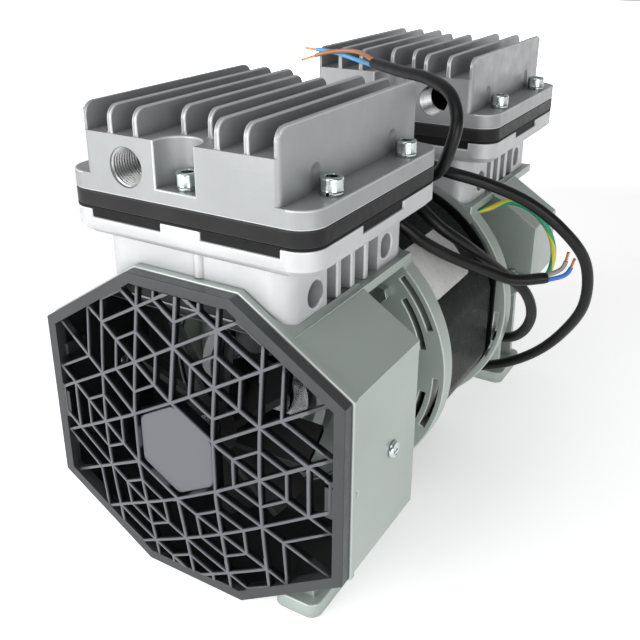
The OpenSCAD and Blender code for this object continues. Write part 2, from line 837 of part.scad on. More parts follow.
// Piston with its rod, cup seal and cap
top_gap = 1.6;
crown_t = 6.5;
crown_clear = 0.6;
cap_t = 3;
cap_r = 25;
cap_hole_r = 2.6;
cap_sink_r = 5.4;
seal_t = 0.8;
seal_lip_h = 3.2;
seal_lip_t = 1;
rod_x_w = 15;
rod_y_w = 9;
big_end_w = 9;
big_end_wall = 4.8;
// The open big end clears the crank bearing over the stroke and over the turn
big_end_r = crank_bearing_r + throw * sqrt(2) + free_gap;
piston_top = block_top - top_gap - throw;
cap_z = piston_top - cap_t;
crown_z = cap_z - seal_t - crown_t;

module piston() {
    difference() {
        union() {
            translate([0, cylinder_y, crown_z]) cylinder(r = bore_r - crown_clear - seal_lip_t, h = crown_t);
            box(-rod_x_w / 2, rod_x_w / 2, cylinder_y - rod_y_w / 2, cylinder_y + rod_y_w / 2,
                big_end_r + big_end_wall / 2, crown_z + cut);
            rod_y(big_end_r + big_end_wall, cylinder_y - big_end_w / 2, cylinder_y + big_end_w / 2);
        }
        rod_y(big_end_r, cylinder_y - big_end_w, cylinder_y + big_end_w);
        both_ends(cylinder_y)
            box(-rod_x_w / 5, rod_x_w / 5, cylinder_y - rod_y_w / 2 - cut, cylinder_y - rod_y_w / 4,
                big_end_r + 2 * big_end_wall, crown_z - big_end_wall);
        translate([0, cylinder_y, crown_z + crown_t / 2]) cylinder(r = cap_hole_r, h = crown_t);
    }
}
module cup_seal() {
    translate([0, cylinder_y, cap_z - seal_t])
        difference() {
            cylinder(r = bore_r - run_fit, h = seal_lip_h);
            translate([0, 0, seal_t]) cylinder(r = bore_r - run_fit - seal_lip_t, h = seal_lip_h);
            translate([0, 0, -cut]) cylinder(r = cap_hole_r, h = seal_lip_h);
        }
}
module piston_cap() {
    difference() {
        union() {
            translate([0, cylinder_y, cap_z]) cylinder(r = cap_r, h = cap_t);
            translate([0, cylinder_y, crown_z + crown_t / 2 + free_gap])
                cylinder(r = cap_hole_r - run_fit, h = crown_t / 2 + seal_t);
        }
        translate([0, cylinder_y, piston_top - cap_t / 2]) cylinder(r = cap_hole_r, h = cap_t, $fn = 6);
    }
}
module front_piston() color([0.74, 0.75, 0.76]) front() piston();
module rear_piston() color([0.74, 0.75, 0.76]) rear() piston();
module front_cup_seal() color([0.25, 0.18, 0.13]) front() cup_seal();
module rear_cup_seal() color([0.25, 0.18, 0.13]) rear() cup_seal();
module front_piston_cap() color([0.70, 0.71, 0.72]) front() piston_cap();
module rear_piston_cap() color([0.70, 0.71, 0.72]) rear() piston_cap();

// Crank, crank bearing, fan arbor and fan. The front crank points to +X and the rear one to -X
crank_bearing_w = 11;
web_gap = 1.2;
crank_web_t = 6;
crank_web_r = 17;
counter_r = 36;
counter_angle = 75;
arbor_web_t = 4.5;
arbor_web_r = 16.5;
arbor_r = 5;
fan_y0 = 16;
rear_fan_gap = 5;
rear_fan_y0 = rear_case_y0 + rear_fan_gap;
arbor_nose = 2;
fan_w = 14;
fan_hub_r = 13;
blade_t = 2.2;
blade_pitch = 38;
web_y0 = cylinder_y + crank_bearing_w / 2 + web_gap;
web_y1 = web_y0 + crank_web_t;
arbor_y1 = cylinder_y - crank_bearing_w / 2 - web_gap;

module counterweight(y0, y1) {
    rotate([90, 0, 0])
        translate([0, 0, -y1])
            rotate([0, 0, 180 - counter_angle])
                rotate_extrude(angle = 2 * counter_angle)
                    square([counter_r, y1 - y0]);
}
module crank() {
    difference() {
        union() {
            rod_y(crank_web_r, web_y0, web_y1);
            counterweight(web_y0, web_y1);
            rod_y(pin_r - run_fit, arbor_y1, web_y0 + cut, x = throw);
            rod_y(pin_r + web_gap, web_y0 - web_gap + run_fit, web_y0 + cut, x = throw);
        }
        rod_y(shaft_r, web_y1 - crank_web_t * 2 / 3, web_y1 + cut);
    }
}
module crank_bearing() {
    difference() {
        rod_y(crank_bearing_r, cylinder_y - crank_bearing_w / 2, cylinder_y + crank_bearing_w / 2, x = throw);
        rod_y(pin_r, cylinder_y - crank_bearing_w, cylinder_y + crank_bearing_w, x = throw);
    }
}
module fan_arbor(fan_at) {
    rod_y(arbor_web_r, arbor_y1 - arbor_web_t, arbor_y1);
    rod_y(arbor_r, fan_at - arbor_nose, arbor_y1 - arbor_web_t + cut);
}
module fan(y0) {
    difference() {
        union() {
            rod_y(fan_hub_r, y0, y0 + fan_w);
            intersection() {
                rod_y(fan_r, y0, y0 + fan_w);
                for (i = [0:blade_count - 1])
                    rotate([0, i * 360 / blade_count, 0])
                        translate([fan_hub_r / 2, y0 + fan_w / 2, 0])
                            rotate([blade_pitch, 0, 0])
                                translate([0, -fan_w, -blade_t / 2])
                                    cube([fan_r, 2 * fan_w, blade_t]);
            }
        }
        rod_y(arbor_r + run_fit, y0 - cut, y0 + fan_w + cut);
    }
}
module front_crank() color([0.45, 0.46, 0.48]) front() crank();
module rear_crank() color([0.45, 0.46, 0.48]) rear() mirror([1, 0, 0]) crank();
module front_crank_bearing() color([0.66, 0.68, 0.70]) front() crank_bearing();
module rear_crank_bearing() color([0.66, 0.68, 0.70]) rear() mirror([1, 0, 0]) crank_bearing();
module front_fan_arbor() color([0.55, 0.56, 0.58]) front() fan_arbor(fan_y0);
module rear_fan_arbor() color([0.55, 0.56, 0.58]) rear() fan_arbor(rear_fan_y0);
module front_fan() color([0.10, 0.10, 0.11]) front() fan(fan_y0);
module rear_fan() color([0.10, 0.10, 0.11]) rear() fan(rear_fan_y0);

// Main bearings, shaft and motor
winding_gap = 5.5;
winding_l = (shell_l - core_l) / 2 - winding_gap;
winding_in = 3;
winding_out = 5;
shell_wall = 6;
groove_edge = 2;
groove_len = 7;
groove_depth = 4;

module main_bearing() {
    difference() {
        rod_y(main_bearing_r, flange_y1 - bearing_lip - bearing_w, flange_y1 - bearing_lip);
        rod_y(shaft_r + run_fit, flange_y0 - bearing_w, flange_y1 + cut);
    }
}
module front_main_bearing() color([0.66, 0.68, 0.70]) front() main_bearing();
module rear_main_bearing() color([0.66, 0.68, 0.70]) rear() main_bearing();

module shaft() color([0.62, 0.64, 0.66]) to_floor()
    rod_y(shaft_r, shaft_y0, 2 * mirror_y - shaft_y0);
shaft_y0 = web_y1 - crank_web_t * 2 / 3;

module rotor_core() color([0.50, 0.51, 0.53]) to_floor()
    difference() {
        rod_y(rotor_r, mirror_y - core_l / 2, mirror_y + core_l / 2);
        rod_y(shaft_r, mirror_y - core_l, mirror_y + core_l);
    }
module shell_outline() {
    intersection() {
        circle(shell_r);
        square(2 * shell_flat, center = true);
    }
}
module motor_shell() color([0.09, 0.09, 0.10]) to_floor()
    difference() {
        along_y(flange_y1, 2 * mirror_y - flange_y1) shell_outline();
        rod_y(shell_r - shell_wall, flange_y1 - cut, 2 * mirror_y - flange_y1 + cut);
        translate([0, 2 * mirror_y - flange_y1 - groove_edge, 0])
            difference() {
                rod_y(shell_r + cut, -groove_len, 0);
                rod_y(shell_r - groove_depth, -groove_len - cut, cut);
            }
    }
module stator_core() color([0.30, 0.31, 0.33]) to_floor()
    difference() {
        rod_y(shell_r - shell_wall, mirror_y - core_l / 2, mirror_y + core_l / 2);
        rod_y(rotor_r + air_gap, mirror_y - core_l, mirror_y + core_l);
        tie_bolt_places(bolt_ring_r) rod_y(bolt_r + screw_fit, mirror_y - core_l, mirror_y + core_l);
    }
module end_windings() color([0.70, 0.38, 0.20]) to_floor()
    for (end = [0, 1])
        translate([0, end * (core_l + winding_l), 0])
            difference() {
                rod_y(bolt_ring_r - winding_out, mirror_y - core_l / 2 - winding_l, mirror_y - core_l / 2);
                rod_y(rotor_r + winding_in, mirror_y - core_l, mirror_y + core_l);
            }

// Four tie bolts through both flanges and the motor
bolt_head_r = 4;
bolt_head_h = 4;
module tie_bolts() color([0.78, 0.79, 0.80]) to_floor()
    tie_bolt_places(bolt_ring_r) {
        rod_y(bolt_r, flange_y0 - bolt_head_h / 2, 2 * mirror_y - flange_y0 + bolt_head_h / 2);
        translate([0, flange_y0, 0]) rotate([90, 0, 0]) cylinder(r = bolt_head_r, h = bolt_head_h, $fn = 6);
        translate([0, 2 * mirror_y - flange_y0 + bolt_head_h, 0])
            rotate([90, 0, 0]) cylinder(r = bolt_head_r, h = bolt_head_h, $fn = 6);
    }

// Screws seen on the sides: one in each wall of the housing and two in each side of the blocks
side_screw_head_r = 3.6;
side_screw_head_t = 1.8;
side_screw_slot = 1;
module pan_screw(x, l) {
    rod_x(side_hole_r - run_fit, x - l, x + cut / 2);
    difference() {
        translate([x, 0, 0]) rotate([0, 90, 0]) cylinder(r = side_screw_head_r, h = side_screw_head_t);
        box(x + side_screw_head_t / 2, x + side_screw_head_t + cut, -side_screw_slot / 2, side_screw_slot / 2,
            -side_screw_head_r, side_screw_head_r);
    }
}
module side_screws() color([0.80, 0.82, 0.82]) {
    front() both_sides() translate([0, side_hole_y, 0]) pan_screw(rim_w / 2, case_wall);
    front() both_sides() recess_places() pan_screw(block_w / 2 - recess_t, recess_t);
    rear() both_sides() recess_places() pan_screw(block_w / 2 - recess_t, recess_t);
}

// Plain label on the upper right of the motor shell
label_t = 0.3;
label_edge = 4;
label_l = 40;
label_a0 = 29;
label_a1 = 53;
module label() color([0.88, 0.88, 0.86]) to_floor()
    translate([0, flange_y1 + label_edge, 0])
        rotate([-90, 0, 0])
            mirror([0, 1, 0])
                rotate([0, 0, label_a0])
                    rotate_extrude(angle = label_a1 - label_a0)
                        translate([shell_r + run_fit, 0]) square([label_t, label_l]);

// Cable glands through the rear motor flange, with a nut and a tapered nose that holds the cable
gland_nut_r = 5.5;
gland_nut_l = 3;
gland_base_r = 4.5;
gland_nose_r = 3.4;
gland_nose_l = 2;
module cable_glands() color([0.06, 0.06, 0.07]) to_floor()
    translate([0, 2 * mirror_y - flange_y0, 0])
        gland_places()
            rotate([-90, 0, 0]) {
                translate([0, 0, -flange_t]) cylinder(r = gland_shank_r - run_fit, h = flange_t + cut);
                cylinder(r = gland_nut_r, h = gland_nut_l);
                translate([0, 0, gland_nut_l - cut]) cylinder(r = gland_base_r, h = cut);
                translate([0, 0, gland_nut_l]) cylinder(r1 = gland_base_r, r2 = gland_nose_r, h = gland_nose_l);
            }

// Vented cover at the back of the rear crankcase
cover_slot_w = 4;
cover_slot_count = 16;
cover_slot_in = 12;
cover_slot_out = 36;
module rear_cover() color([0.20, 0.20, 0.22]) rear()
    difference() {
        rod_y(rear_case_r, rear_case_y0 - cover_t, rear_case_y0);
        for (i = [0:cover_slot_count - 1])
            rotate([0, i * 360 / cover_slot_count, 0])
                box(cover_slot_in, cover_slot_out, rear_case_y0 - cover_t - cut, rear_case_y0 + cut,
                    -cover_slot_w / 2, cover_slot_w / 2);
        for (i = [0:cover_screw_count - 1])
            rotate([0, i * 360 / cover_screw_count + 30, 0])
                rod_y(cover_screw_r, rear_case_y0 - cover_t - cut, rear_case_y0 + cut,
                      x = rear_case_r * cover_ring_share);
    }
module rear_cover_screws() color([0.80, 0.82, 0.82]) rear()
    for (i = [0:cover_screw_count - 1])
        rotate([0, i * 360 / cover_screw_count + 30, 0])
            translate([rear_case_r * cover_ring_share, rear_case_y0 - cover_t, 0])
                rotate([0, 0, -90]) {
                    rod_x(cover_screw_r - run_fit, -cover_depth, cut / 2);
                    rod_x(cover_screw_r + cut / 2, 0, side_screw_head_t);
                }

// Earth screw and ring terminal on the front of the rear crankcase's shoulder
earth_x = 60;
earth_z = 9;
earth_wall_y = 2 * mirror_y - shoulder_y1;
lug_r = 3.8;
lug_t = 0.8;
lug_l = 8;
lug_barrel_r = 1.8;
module earth_screw() color([0.80, 0.82, 0.82]) to_floor()
    translate([earth_x, earth_wall_y - lug_t, earth_z])
        rotate([0, 0, -90]) pan_screw(0, case_wall);
module earth_terminal() color([0.76, 0.70, 0.50]) to_floor()
    translate([earth_x, earth_wall_y - lug_t, earth_z])
        difference() {
            union() {
                rod_y(lug_r, 0, lug_t);
                    box(0, lug_l - lug_barrel_r, 0, lug_t, -lug_barrel_r, lug_barrel_r);
                rod_x(lug_barrel_r, lug_r + lug_t, lug_l, y = lug_t - lug_barrel_r);
            }
            rod_y(side_hole_r, -cut, lug_t + cut);
        }

// Cables: round points along each one, from where it leaves the unit to its bare end
front_cable_points = [
    [22, 190, -45], [23.5, 196, -45.5], [27.7, 200.4, -46.8], [33.4, 202, -48.6], [47, 205.5, -49.5],
    [62, 207.5, -44], [78, 206, -32], [92, 200, -14], [103, 189, 10], [103, 178, 36], [93, 167, 54],
    [78, 159, 67], [61, 146, 77], [46, 138, 82], [31, 141, 84], [16, 148, 84], [2, 155, 84],
    [-12, 159, 84], [-25, 154, 83], [-29, 143, 81], [-21, 132, 80], [-5, 130, 79], [15, 131, 79],
    [35, 128, 80], [48, 121, 86], [55, 115, 97], [57, 117, 110], [51, 124, 119], [37, 134, 123],
    [16, 148, 123], [-6, 164, 123]
];
side_cable_points = [
    [44, 190, -24], [45.5, 195.8, -24.3], [49.6, 200, -25.2], [55.3, 201.5, -26.3], [64, 200.5, -24.5],
    [72, 196, -17], [77.5, 189, -3], [76, 178, 14], [67, 166, 27], [55, 143, 47], [45, 134, 57],
    [34, 133, 66], [20, 138, 71], [6, 138, 72], [-5, 131, 72], [-6, 119, 71], [2, 110, 70], [15, 108, 69],
    [27, 110, 67], [36, 113, 62], [43, 118, 55], [53, 132, 44], [65, 148, 34], [76, 158, 28], [89, 166, 29]
];
earth_wire_points = [
    [38, 185, 44], [39, 193, 45], [46, 200, 47], [56, 204, 51], [68, 204.5, 48], [77, 205, 39],
    [81, 205.5, 27], [79, 206, 14], [74, 206.2, 9.4], [68, 206.2, 9]
];
front_core_points = [
    [[-6, 164, 124.3], [-18, 169, 127], [-33, 168, 126], [-49, 167, 121]],
    [[-6, 164, 121.7], [-17, 170, 122.5], [-32, 171, 125.5], [-48, 169, 127]]
];
side_core_points = [
    [[89, 166, 30.3], [95, 168, 34.5], [97, 168, 43]],
    [[89, 166, 27.7], [97, 169, 31.5], [100, 169, 40]]
];
cord_r = 2.75;
cord_sides = 8;
core_r = 1.1;
earth_r = 1.5;

function unit(v) = v / norm(v);
// Direction of each ring: that of the route, but square to what the tube meets at its ends
function headings(p, start, stop) =
    let (n = len(p) - 1)
    [for (i = [0:n]) i == 0 ? start : i == n ? stop : unit(unit(p[i] - p[i - 1]) + unit(p[i + 1] - p[i]))];
// One direction square to the route at each point, carried along so that the tube doesn't twist
function carried(t, u, i = 0) =
    let (v = unit(u - (u * t[i]) * t[i]))
    i == len(t) - 1 ? [v] : concat([v], carried(t, v, i + 1));
function last_way(p) = unit(p[len(p) - 1] - p[len(p) - 2]);
module tube(p, r, start, stop) {
    t = headings(p, start, stop);
    u = carried(t, [0, 0, 1]);
    n = len(p);
    polyhedron(
        points = [for (i = [0:n - 1]) for (k = [0:cord_sides - 1])
            let (a = 360 * k / cord_sides)
            p[i] + r * (cos(a) * u[i] + sin(a) * cross(t[i], u[i]))],
        faces = concat(
            [[for (k = [0:cord_sides - 1]) k]],
            [for (i = [0:n - 2]) for (k = [0:cord_sides - 1])
                let (a = i * cord_sides + k, b = i * cord_sides + (k + 1) % cord_sides)
                [a, a + cord_sides, b + cord_sides, b]],
            [[for (k = [0:cord_sides - 1]) n * cord_sides - 1 - k]]
        )
    );
}
module front_cable() color([0.06, 0.06, 0.07]) to_floor()
    tube(front_cable_points, cord_r, [0, 1, 0], last_way(front_cable_points));
module side_cable() color([0.06, 0.06, 0.07]) to_floor()
    tube(side_cable_points, cord_r, [0, 1, 0], last_way(side_cable_points));
module front_cable_cores() color([0.62, 0.45, 0.36]) to_floor()
    for (p = front_core_points) tube(p, core_r, last_way(front_cable_points), last_way(p));
module side_cable_cores() color([0.20, 0.30, 0.55]) to_floor()
    for (p = side_core_points) tube(p, core_r, last_way(side_cable_points), last_way(p));
module earth_wire() color([0.15, 0.55, 0.40]) to_floor()
    tube(earth_wire_points, earth_r, [0, 1, 0], [-1, 0, 0]);

front_grille();
front_crankcase();
front_block();
front_liner();
front_gasket();
front_valve_plate();
front_head();
front_head_screws();
front_head_washers();
front_inlet_reed();
front_outlet_reed();
front_reed_rivets();
front_main_bearing();
front_piston();
front_cup_seal();
front_piston_cap();
front_crank();
front_crank_bearing();
front_fan_arbor();
front_fan();
rear_cover();
rear_cover_screws();
rear_crankcase();
rear_block();
rear_liner();
rear_gasket();
rear_valve_plate();
rear_head();
rear_head_screws();
rear_head_washers();
rear_inlet_reed();
rear_outlet_reed();
rear_reed_rivets();
rear_main_bearing();
rear_piston();
rear_cup_seal();
rear_piston_cap();
rear_crank();
rear_crank_bearing();
rear_fan_arbor();
rear_fan();
shaft();
rotor_core();
motor_shell();
stator_core();
end_windings();
tie_bolts();
side_screws();
label();
cable_glands();
front_cable();
front_cable_cores();
side_cable();
side_cable_cores();
earth_wire();
earth_terminal();
earth_screw();
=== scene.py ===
import math
import json

import bmesh
import bpy
from mathutils import Matrix, Vector, geometry
from mathutils.bvhtree import BVHTree
from mathutils.kdtree import KDTree


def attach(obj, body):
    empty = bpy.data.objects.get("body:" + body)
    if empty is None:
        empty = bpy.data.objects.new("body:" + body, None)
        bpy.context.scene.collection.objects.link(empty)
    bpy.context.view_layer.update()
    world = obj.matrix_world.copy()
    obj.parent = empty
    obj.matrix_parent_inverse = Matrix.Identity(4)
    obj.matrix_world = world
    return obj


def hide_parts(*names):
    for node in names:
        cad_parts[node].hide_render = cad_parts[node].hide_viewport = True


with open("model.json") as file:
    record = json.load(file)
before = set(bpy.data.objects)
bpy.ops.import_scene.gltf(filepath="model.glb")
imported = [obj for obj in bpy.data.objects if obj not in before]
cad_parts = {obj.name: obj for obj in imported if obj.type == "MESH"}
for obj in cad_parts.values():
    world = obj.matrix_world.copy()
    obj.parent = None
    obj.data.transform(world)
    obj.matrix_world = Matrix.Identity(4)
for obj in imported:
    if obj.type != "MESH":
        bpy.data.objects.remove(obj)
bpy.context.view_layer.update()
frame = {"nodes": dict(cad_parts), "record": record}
NODES = frame["nodes"]
BODIES = frame["record"]["behaviour"]["bodies"]
BODY_OF = {n: b for b, members in BODIES.items() for n in members}
SLOT_OF = {s["node"]: s["material_slot"] for s in frame["record"]["subparts"]}

MM = 0.001  # a millimetre in metres
TINY = 1e-9  # a length in metres that counts as none
Y_SHIFT, Z_SHIFT = -134.9, 74.0  # the grille's rim and the shaft axis in the frame, in mm
RIM_Y, AXIS_Z = Y_SHIFT / 1000, Z_SHIFT / 1000  # the same in metres


def P(x, y, z):
    """A point in mm (x across, y from the grille's rim, z from the shaft) as metres in the frame."""
    return Vector((x / 1000, (y + Y_SHIFT) / 1000, (z + Z_SHIFT) / 1000))


# ---------------------------------------------------------------- camera
def add_camera():
    """The photograph's camera, as fitted to the unit's corners in units of half the rim's width."""
    yaw, pitch, roll = math.radians(31.892), math.radians(-22.72), math.radians(-0.325)
    focal_pixels, picture_pixels, sensor, half_rim = 831.1, 640, 36, 70
    fwd = Vector((-math.sin(yaw) * math.cos(pitch), math.cos(yaw) * math.cos(pitch), math.sin(pitch)))
    right = Vector((math.cos(yaw), math.sin(yaw), 0))
    up = right.cross(fwd)
    r = right * math.cos(roll) + up * math.sin(roll)
    u = up * math.cos(roll) - right * math.sin(roll)
    cam = bpy.data.cameras.new("camera")
    cam.sensor_width = sensor
    cam.lens = focal_pixels / picture_pixels * sensor
    cam.shift_x, cam.shift_y = 0.034, -0.072
    cam.clip_start, cam.clip_end = 0.01, 20
    ob = bpy.data.objects.new("camera", cam)
    m = Matrix((r, u, -fwd)).transposed().to_4x4()
    m.translation = P(half_rim * 2.589, half_rim * -2.967, half_rim * 2.643)
    ob.matrix_world = m
    bpy.context.scene.collection.objects.link(ob)
    bpy.context.scene.camera = ob


add_camera()


# ---------------------------------------------------------------- materials
def node_of(nt, kind, **values):
    """A new shader node with some of its properties set."""
    n = nt.nodes.new(kind)
    for k, v in values.items():
        setattr(n, k, v)
    return n


class Mat:
    """A principled material with object-space noise for colour, gloss and grain."""

    def __init__(self, name, color, metallic=0.0, rough=0.4, coat=0.0, specular=0.5):
        self.m = bpy.data.materials.new(name)
        self.m.use_nodes = True
        self.nt = self.m.node_tree
        self.b = self.nt.nodes["Principled BSDF"]
        self.b.inputs["Base Color"].default_value = (*color, 1)
        self.b.inputs["Metallic"].default_value = metallic
        self.b.inputs["Roughness"].default_value = rough
        self.b.inputs["Coat Weight"].default_value = coat
        self.b.inputs["Specular IOR Level"].default_value = specular
        self.color, self.rough = color, rough
        self.tc = node_of(self.nt, "ShaderNodeTexCoord")
        self.normal = None
        self.col = None

    def link(self, a, b):
        self.nt.links.new(a, b)

    def noise(self, scale, detail=3.0, stretch=(1, 1, 1)):
        mp = node_of(self.nt, "ShaderNodeMapping")
        mp.inputs["Scale"].default_value = stretch
        self.link(self.tc.outputs["Object"], mp.inputs["Vector"])
        n = node_of(self.nt, "ShaderNodeTexNoise")
        n.inputs["Scale"].default_value = scale
        n.inputs["Detail"].default_value = detail
        self.link(mp.outputs["Vector"], n.inputs["Vector"])
        return n.outputs["Fac"]

    def ramp(self, fac, lo, hi, a=0.0, b=1.0):
        """a up to lo and b from hi on, and a straight line between them."""
        n = node_of(self.nt, "ShaderNodeMapRange")
        for k, v in zip(("From Min", "From Max", "To Min", "To Max"), (lo, hi, a, b)):
            n.inputs[k].default_value = v
        self.link(fac, n.inputs["Value"])
        return n.outputs["Result"]

    def mix(self, fac, a, b):
        n = node_of(self.nt, "ShaderNodeMix", data_type="RGBA")
        for sock, v in ((n.inputs["Factor"], fac), (n.inputs["A"], a), (n.inputs["B"], b)):
            if hasattr(v, "is_output"):
                self.link(v, sock)
            elif isinstance(v, (int, float)):
                sock.default_value = v
            else:
                sock.default_value = (*v, 1)
        return n.outputs["Result"]

    def base(self, out):
        self.col = out
        self.link(out, self.b.inputs["Base Color"])
        return self

    def current(self):
        return self.col if self.col is not None else self.color

    def blotches(self, scale, amount, tint=None, lo=0.35, hi=0.65):
        """Slow colour variation towards a darker tone, or towards tint."""
        other = tint or tuple(c * (1 - amount) for c in self.color)
        f = self.ramp(self.noise(scale), lo, hi, 0.0, 1.0 if tint is None else amount)
        return self.base(self.mix(f, self.current(), other))

    def edges(self, color, amount):
        """Painted highlight on the edges, on the faces that dress() marks."""
        painted_highlight = node_of(self.nt, "ShaderNodeAttribute", attribute_name="painted_highlight")
        f = self.calc("MULTIPLY", painted_highlight.outputs["Fac"], amount)
        return self.base(self.mix(f, self.current(), color))

    def paint_corner_shade(self, color, amount, distance):
        """Painted shade in corners and gaps, from ambient occlusion, fading out where four fifths of the sky
        are open.
        """
        ao = node_of(self.nt, "ShaderNodeAmbientOcclusion")
        ao.samples = 8
        ao.inputs["Distance"].default_value = distance
        f = self.ramp(ao.outputs["AO"], 0.0, 0.8, amount, 0.0)
        return self.base(self.mix(f, self.current(), color))

    def gloss(self, scale, amount):
        """Roughness that wanders by amount round its own value."""
        r = self.ramp(self.noise(scale), 0.3, 0.7, self.rough - amount, self.rough + amount)
        self.link(r, self.b.inputs["Roughness"])
        return self

    def calc(self, op, a, b=0.0):
        n = node_of(self.nt, "ShaderNodeMath", operation=op)
        for sock, v in zip(n.inputs, (a, b)):
            if hasattr(v, "is_output"):
                self.link(v, sock)
            else:
                sock.default_value = v
        return n.outputs["Value"]

    def place(self):
        """Object coordinates of a point: across, along the shaft and above the shaft axis."""
        xyz = node_of(self.nt, "ShaderNodeSeparateXYZ")
        self.link(self.tc.outputs["Object"], xyz.inputs["Vector"])
        above = self.calc("SUBTRACT", xyz.outputs["Z"], AXIS_Z)
        return xyz.outputs["X"], xyz.outputs["Y"], above

    def paint_housing_shade(self, color, amount, wall, top, back):
        """Painted shade inside the fan housing: in its octagon less the wall, below top and before back."""
        half_width, to_corner_face, to_bottom, fade = 0.0700, 0.0696, 0.0672, 0.0006
        slope = math.radians(32.67)
        x, y, z = self.place()
        x = self.calc("ABSOLUTE", x)
        corner = self.calc("ADD", self.calc("MULTIPLY", x, math.sin(slope)),
                           self.calc("MULTIPLY", self.calc("ABSOLUTE", z), math.cos(slope)))
        f = self.ramp(x, half_width - wall, half_width - fade - wall, 0.0, amount)
        for value, outer, step in ((corner, to_corner_face - wall, -fade), (z, top, -fade),
                                   (z, wall - to_bottom, fade), (y, RIM_Y + back, -fade)):
            f = self.calc("MULTIPLY", f, self.ramp(value, outer, outer + step))
        return self.base(self.mix(f, self.current(), color))

    def bump(self, height, distance):
        """Relief of a height, on top of the reliefs that are there."""
        n = node_of(self.nt, "ShaderNodeBump")
        n.inputs["Strength"].default_value = 1.0
        n.inputs["Distance"].default_value = distance
        self.link(height, n.inputs["Height"])
        if self.normal is not None:
            self.link(self.normal, n.inputs["Normal"])
        self.normal = n.outputs["Normal"]
        self.link(self.normal, self.b.inputs["Normal"])
        return self

    def grain(self, scale, distance, stretch=(1, 1, 1)):
        return self.bump(self.noise(scale, detail=2.0, stretch=stretch), distance)

    def bands(self, axis, pitch, distance):
        """Fine parallel lines square to an axis, pitch in metres."""
        one_wave = 0.314  # width of a wave at scale 1, 2 pi / 20
        w = node_of(self.nt, "ShaderNodeTexWave", wave_type="BANDS", bands_direction=axis)
        w.inputs["Scale"].default_value = one_wave / pitch
        w.inputs["Distortion"].default_value = 0.0
        self.link(self.tc.outputs["Object"], w.inputs["Vector"])
        self.bump(w.outputs["Fac"], distance)
        return w.outputs["Fac"]


PAINTED_HOUSING_SHADE = (0.008, 0.008, 0.009)  # painted shade: colour of the castings where the closed housing leaves them in shadow


def shade(color, share):
    return tuple(c * share for c in color)


def casting(name, color, rough, grain=0.00009, metallic=0.6, edge=(0.86, 0.87, 0.87), shaded=False):
    """Grainy cast metal; shaded adds painted shade where it closes the fan housing from above."""
    m = Mat(name, color, metallic, rough)
    m.blotches(28, 0.12)
    m.blotches(190, 0.25, tint=shade(color, 0.88), lo=0.5, hi=0.72)
    # Painted shade in corners and gaps
    m.paint_corner_shade(shade(color, 0.15), 0.75, 0.009)
    # Painted highlight on the rounded edges
    m.edges(edge, 0.5)
    # Painted shade inside the fan housing
    if shaded:
        m.paint_housing_shade(PAINTED_HOUSING_SHADE, 0.97, wall=0.0040, top=0.0640, back=0.0098)
    m.gloss(140, 0.07)
    m.grain(2600, grain)
    m.grain(330, grain * 1.6)
    return m.m


def smooth_casting(name, color, rough, metallic, edge):
    """Smooth die casting of the fan housing and the motor flanges, with painted shade inside the housing."""
    m = Mat(name, color, metallic, rough)
    m.blotches(9, 0.14)
    m.blotches(42, 0.35, tint=shade(color, 0.85), lo=0.42, hi=0.75)
    # Painted shade inside the fan housing
    m.paint_housing_shade(PAINTED_HOUSING_SHADE, 0.97, wall=0.0016, top=0.0537, back=0.0588)
    # Painted shade in corners and gaps
    m.paint_corner_shade(shade(color, 0.15), 0.7, 0.009)
    # Painted highlight on the rounded edges
    m.edges(edge, 0.4)
    m.gloss(60, 0.04)
    m.grain(3200, 0.000012)
    return m.m


def polished(name, color, rough, grain, stretch=(1, 1, 1), tint=None):
    """Bright metal; stretch draws the grain out along an axis, and tint is the colour of its plating."""
    m = Mat(name, color, 1.0, rough)
    m.blotches(220, 0.2)
    if tint:
        m.blotches(420, 0.45, tint=tint, lo=0.45, hi=0.7)
    # Painted shade in corners and gaps
    m.paint_corner_shade(shade(color, 0.2), 0.5, 0.002)
    m.gloss(500, 0.05)
    m.grain(2400, grain, stretch=stretch)
    return m.m


def plastic(name, color, rough, grain, edge=None, coat=0.0, specular=0.5):
    """Plastic, paint, rubber or foil."""
    m = Mat(name, color, 0.0, rough, coat, specular)
    m.blotches(60, 0.2)
    if edge:
        # Painted highlight on the rounded edges
        m.edges(edge, 0.5)
    m.gloss(260, 0.06)
    m.grain(2200, grain)
    return m.m


def grille_plastic(name):
    """Dark rim, painted highlight on the fronts of the domed ribs and plate, and painted shade that takes the
    rib flanks to black.
    """
    m = Mat(name, (0.041, 0.042, 0.047), 0.0, 0.36)
    m.blotches(60, 0.2)
    x, y, z = m.place()
    radius = m.calc("SQRT", m.calc("ADD", m.calc("MULTIPLY", x, x), m.calc("MULTIPLY", z, z)))
    flat_radius, dome_radius, dome_height = 0.023, 0.0656, 0.007
    front = m.ramp(radius, flat_radius, dome_radius, RIM_Y - dome_height, RIM_Y)
    behind = m.calc("SUBTRACT", y, front)
    # Painted highlight: the fronts of the dome are made lighter than the rim
    painted_dome_highlight = m.ramp(y, RIM_Y - 0.0001, RIM_Y - 0.0003)
    m.base(m.mix(painted_dome_highlight, m.current(), (0.118, 0.122, 0.135)))
    # Painted shade: the rib flanks behind the fronts go near black, away from the plate and the rim
    flank = m.ramp(behind, 0.0004, 0.0011)
    off_the_plate = m.ramp(radius, 0.0186, 0.0190)
    off_the_rim = m.ramp(radius, 0.0655, 0.0640)
    dark = m.calc("MULTIPLY", m.calc("MULTIPLY", flank, off_the_plate), off_the_rim)
    m.base(m.mix(dark, m.current(), (0.005, 0.005, 0.006)))
    m.gloss(260, 0.06)
    m.grain(2200, 0.00006)
    return m.m


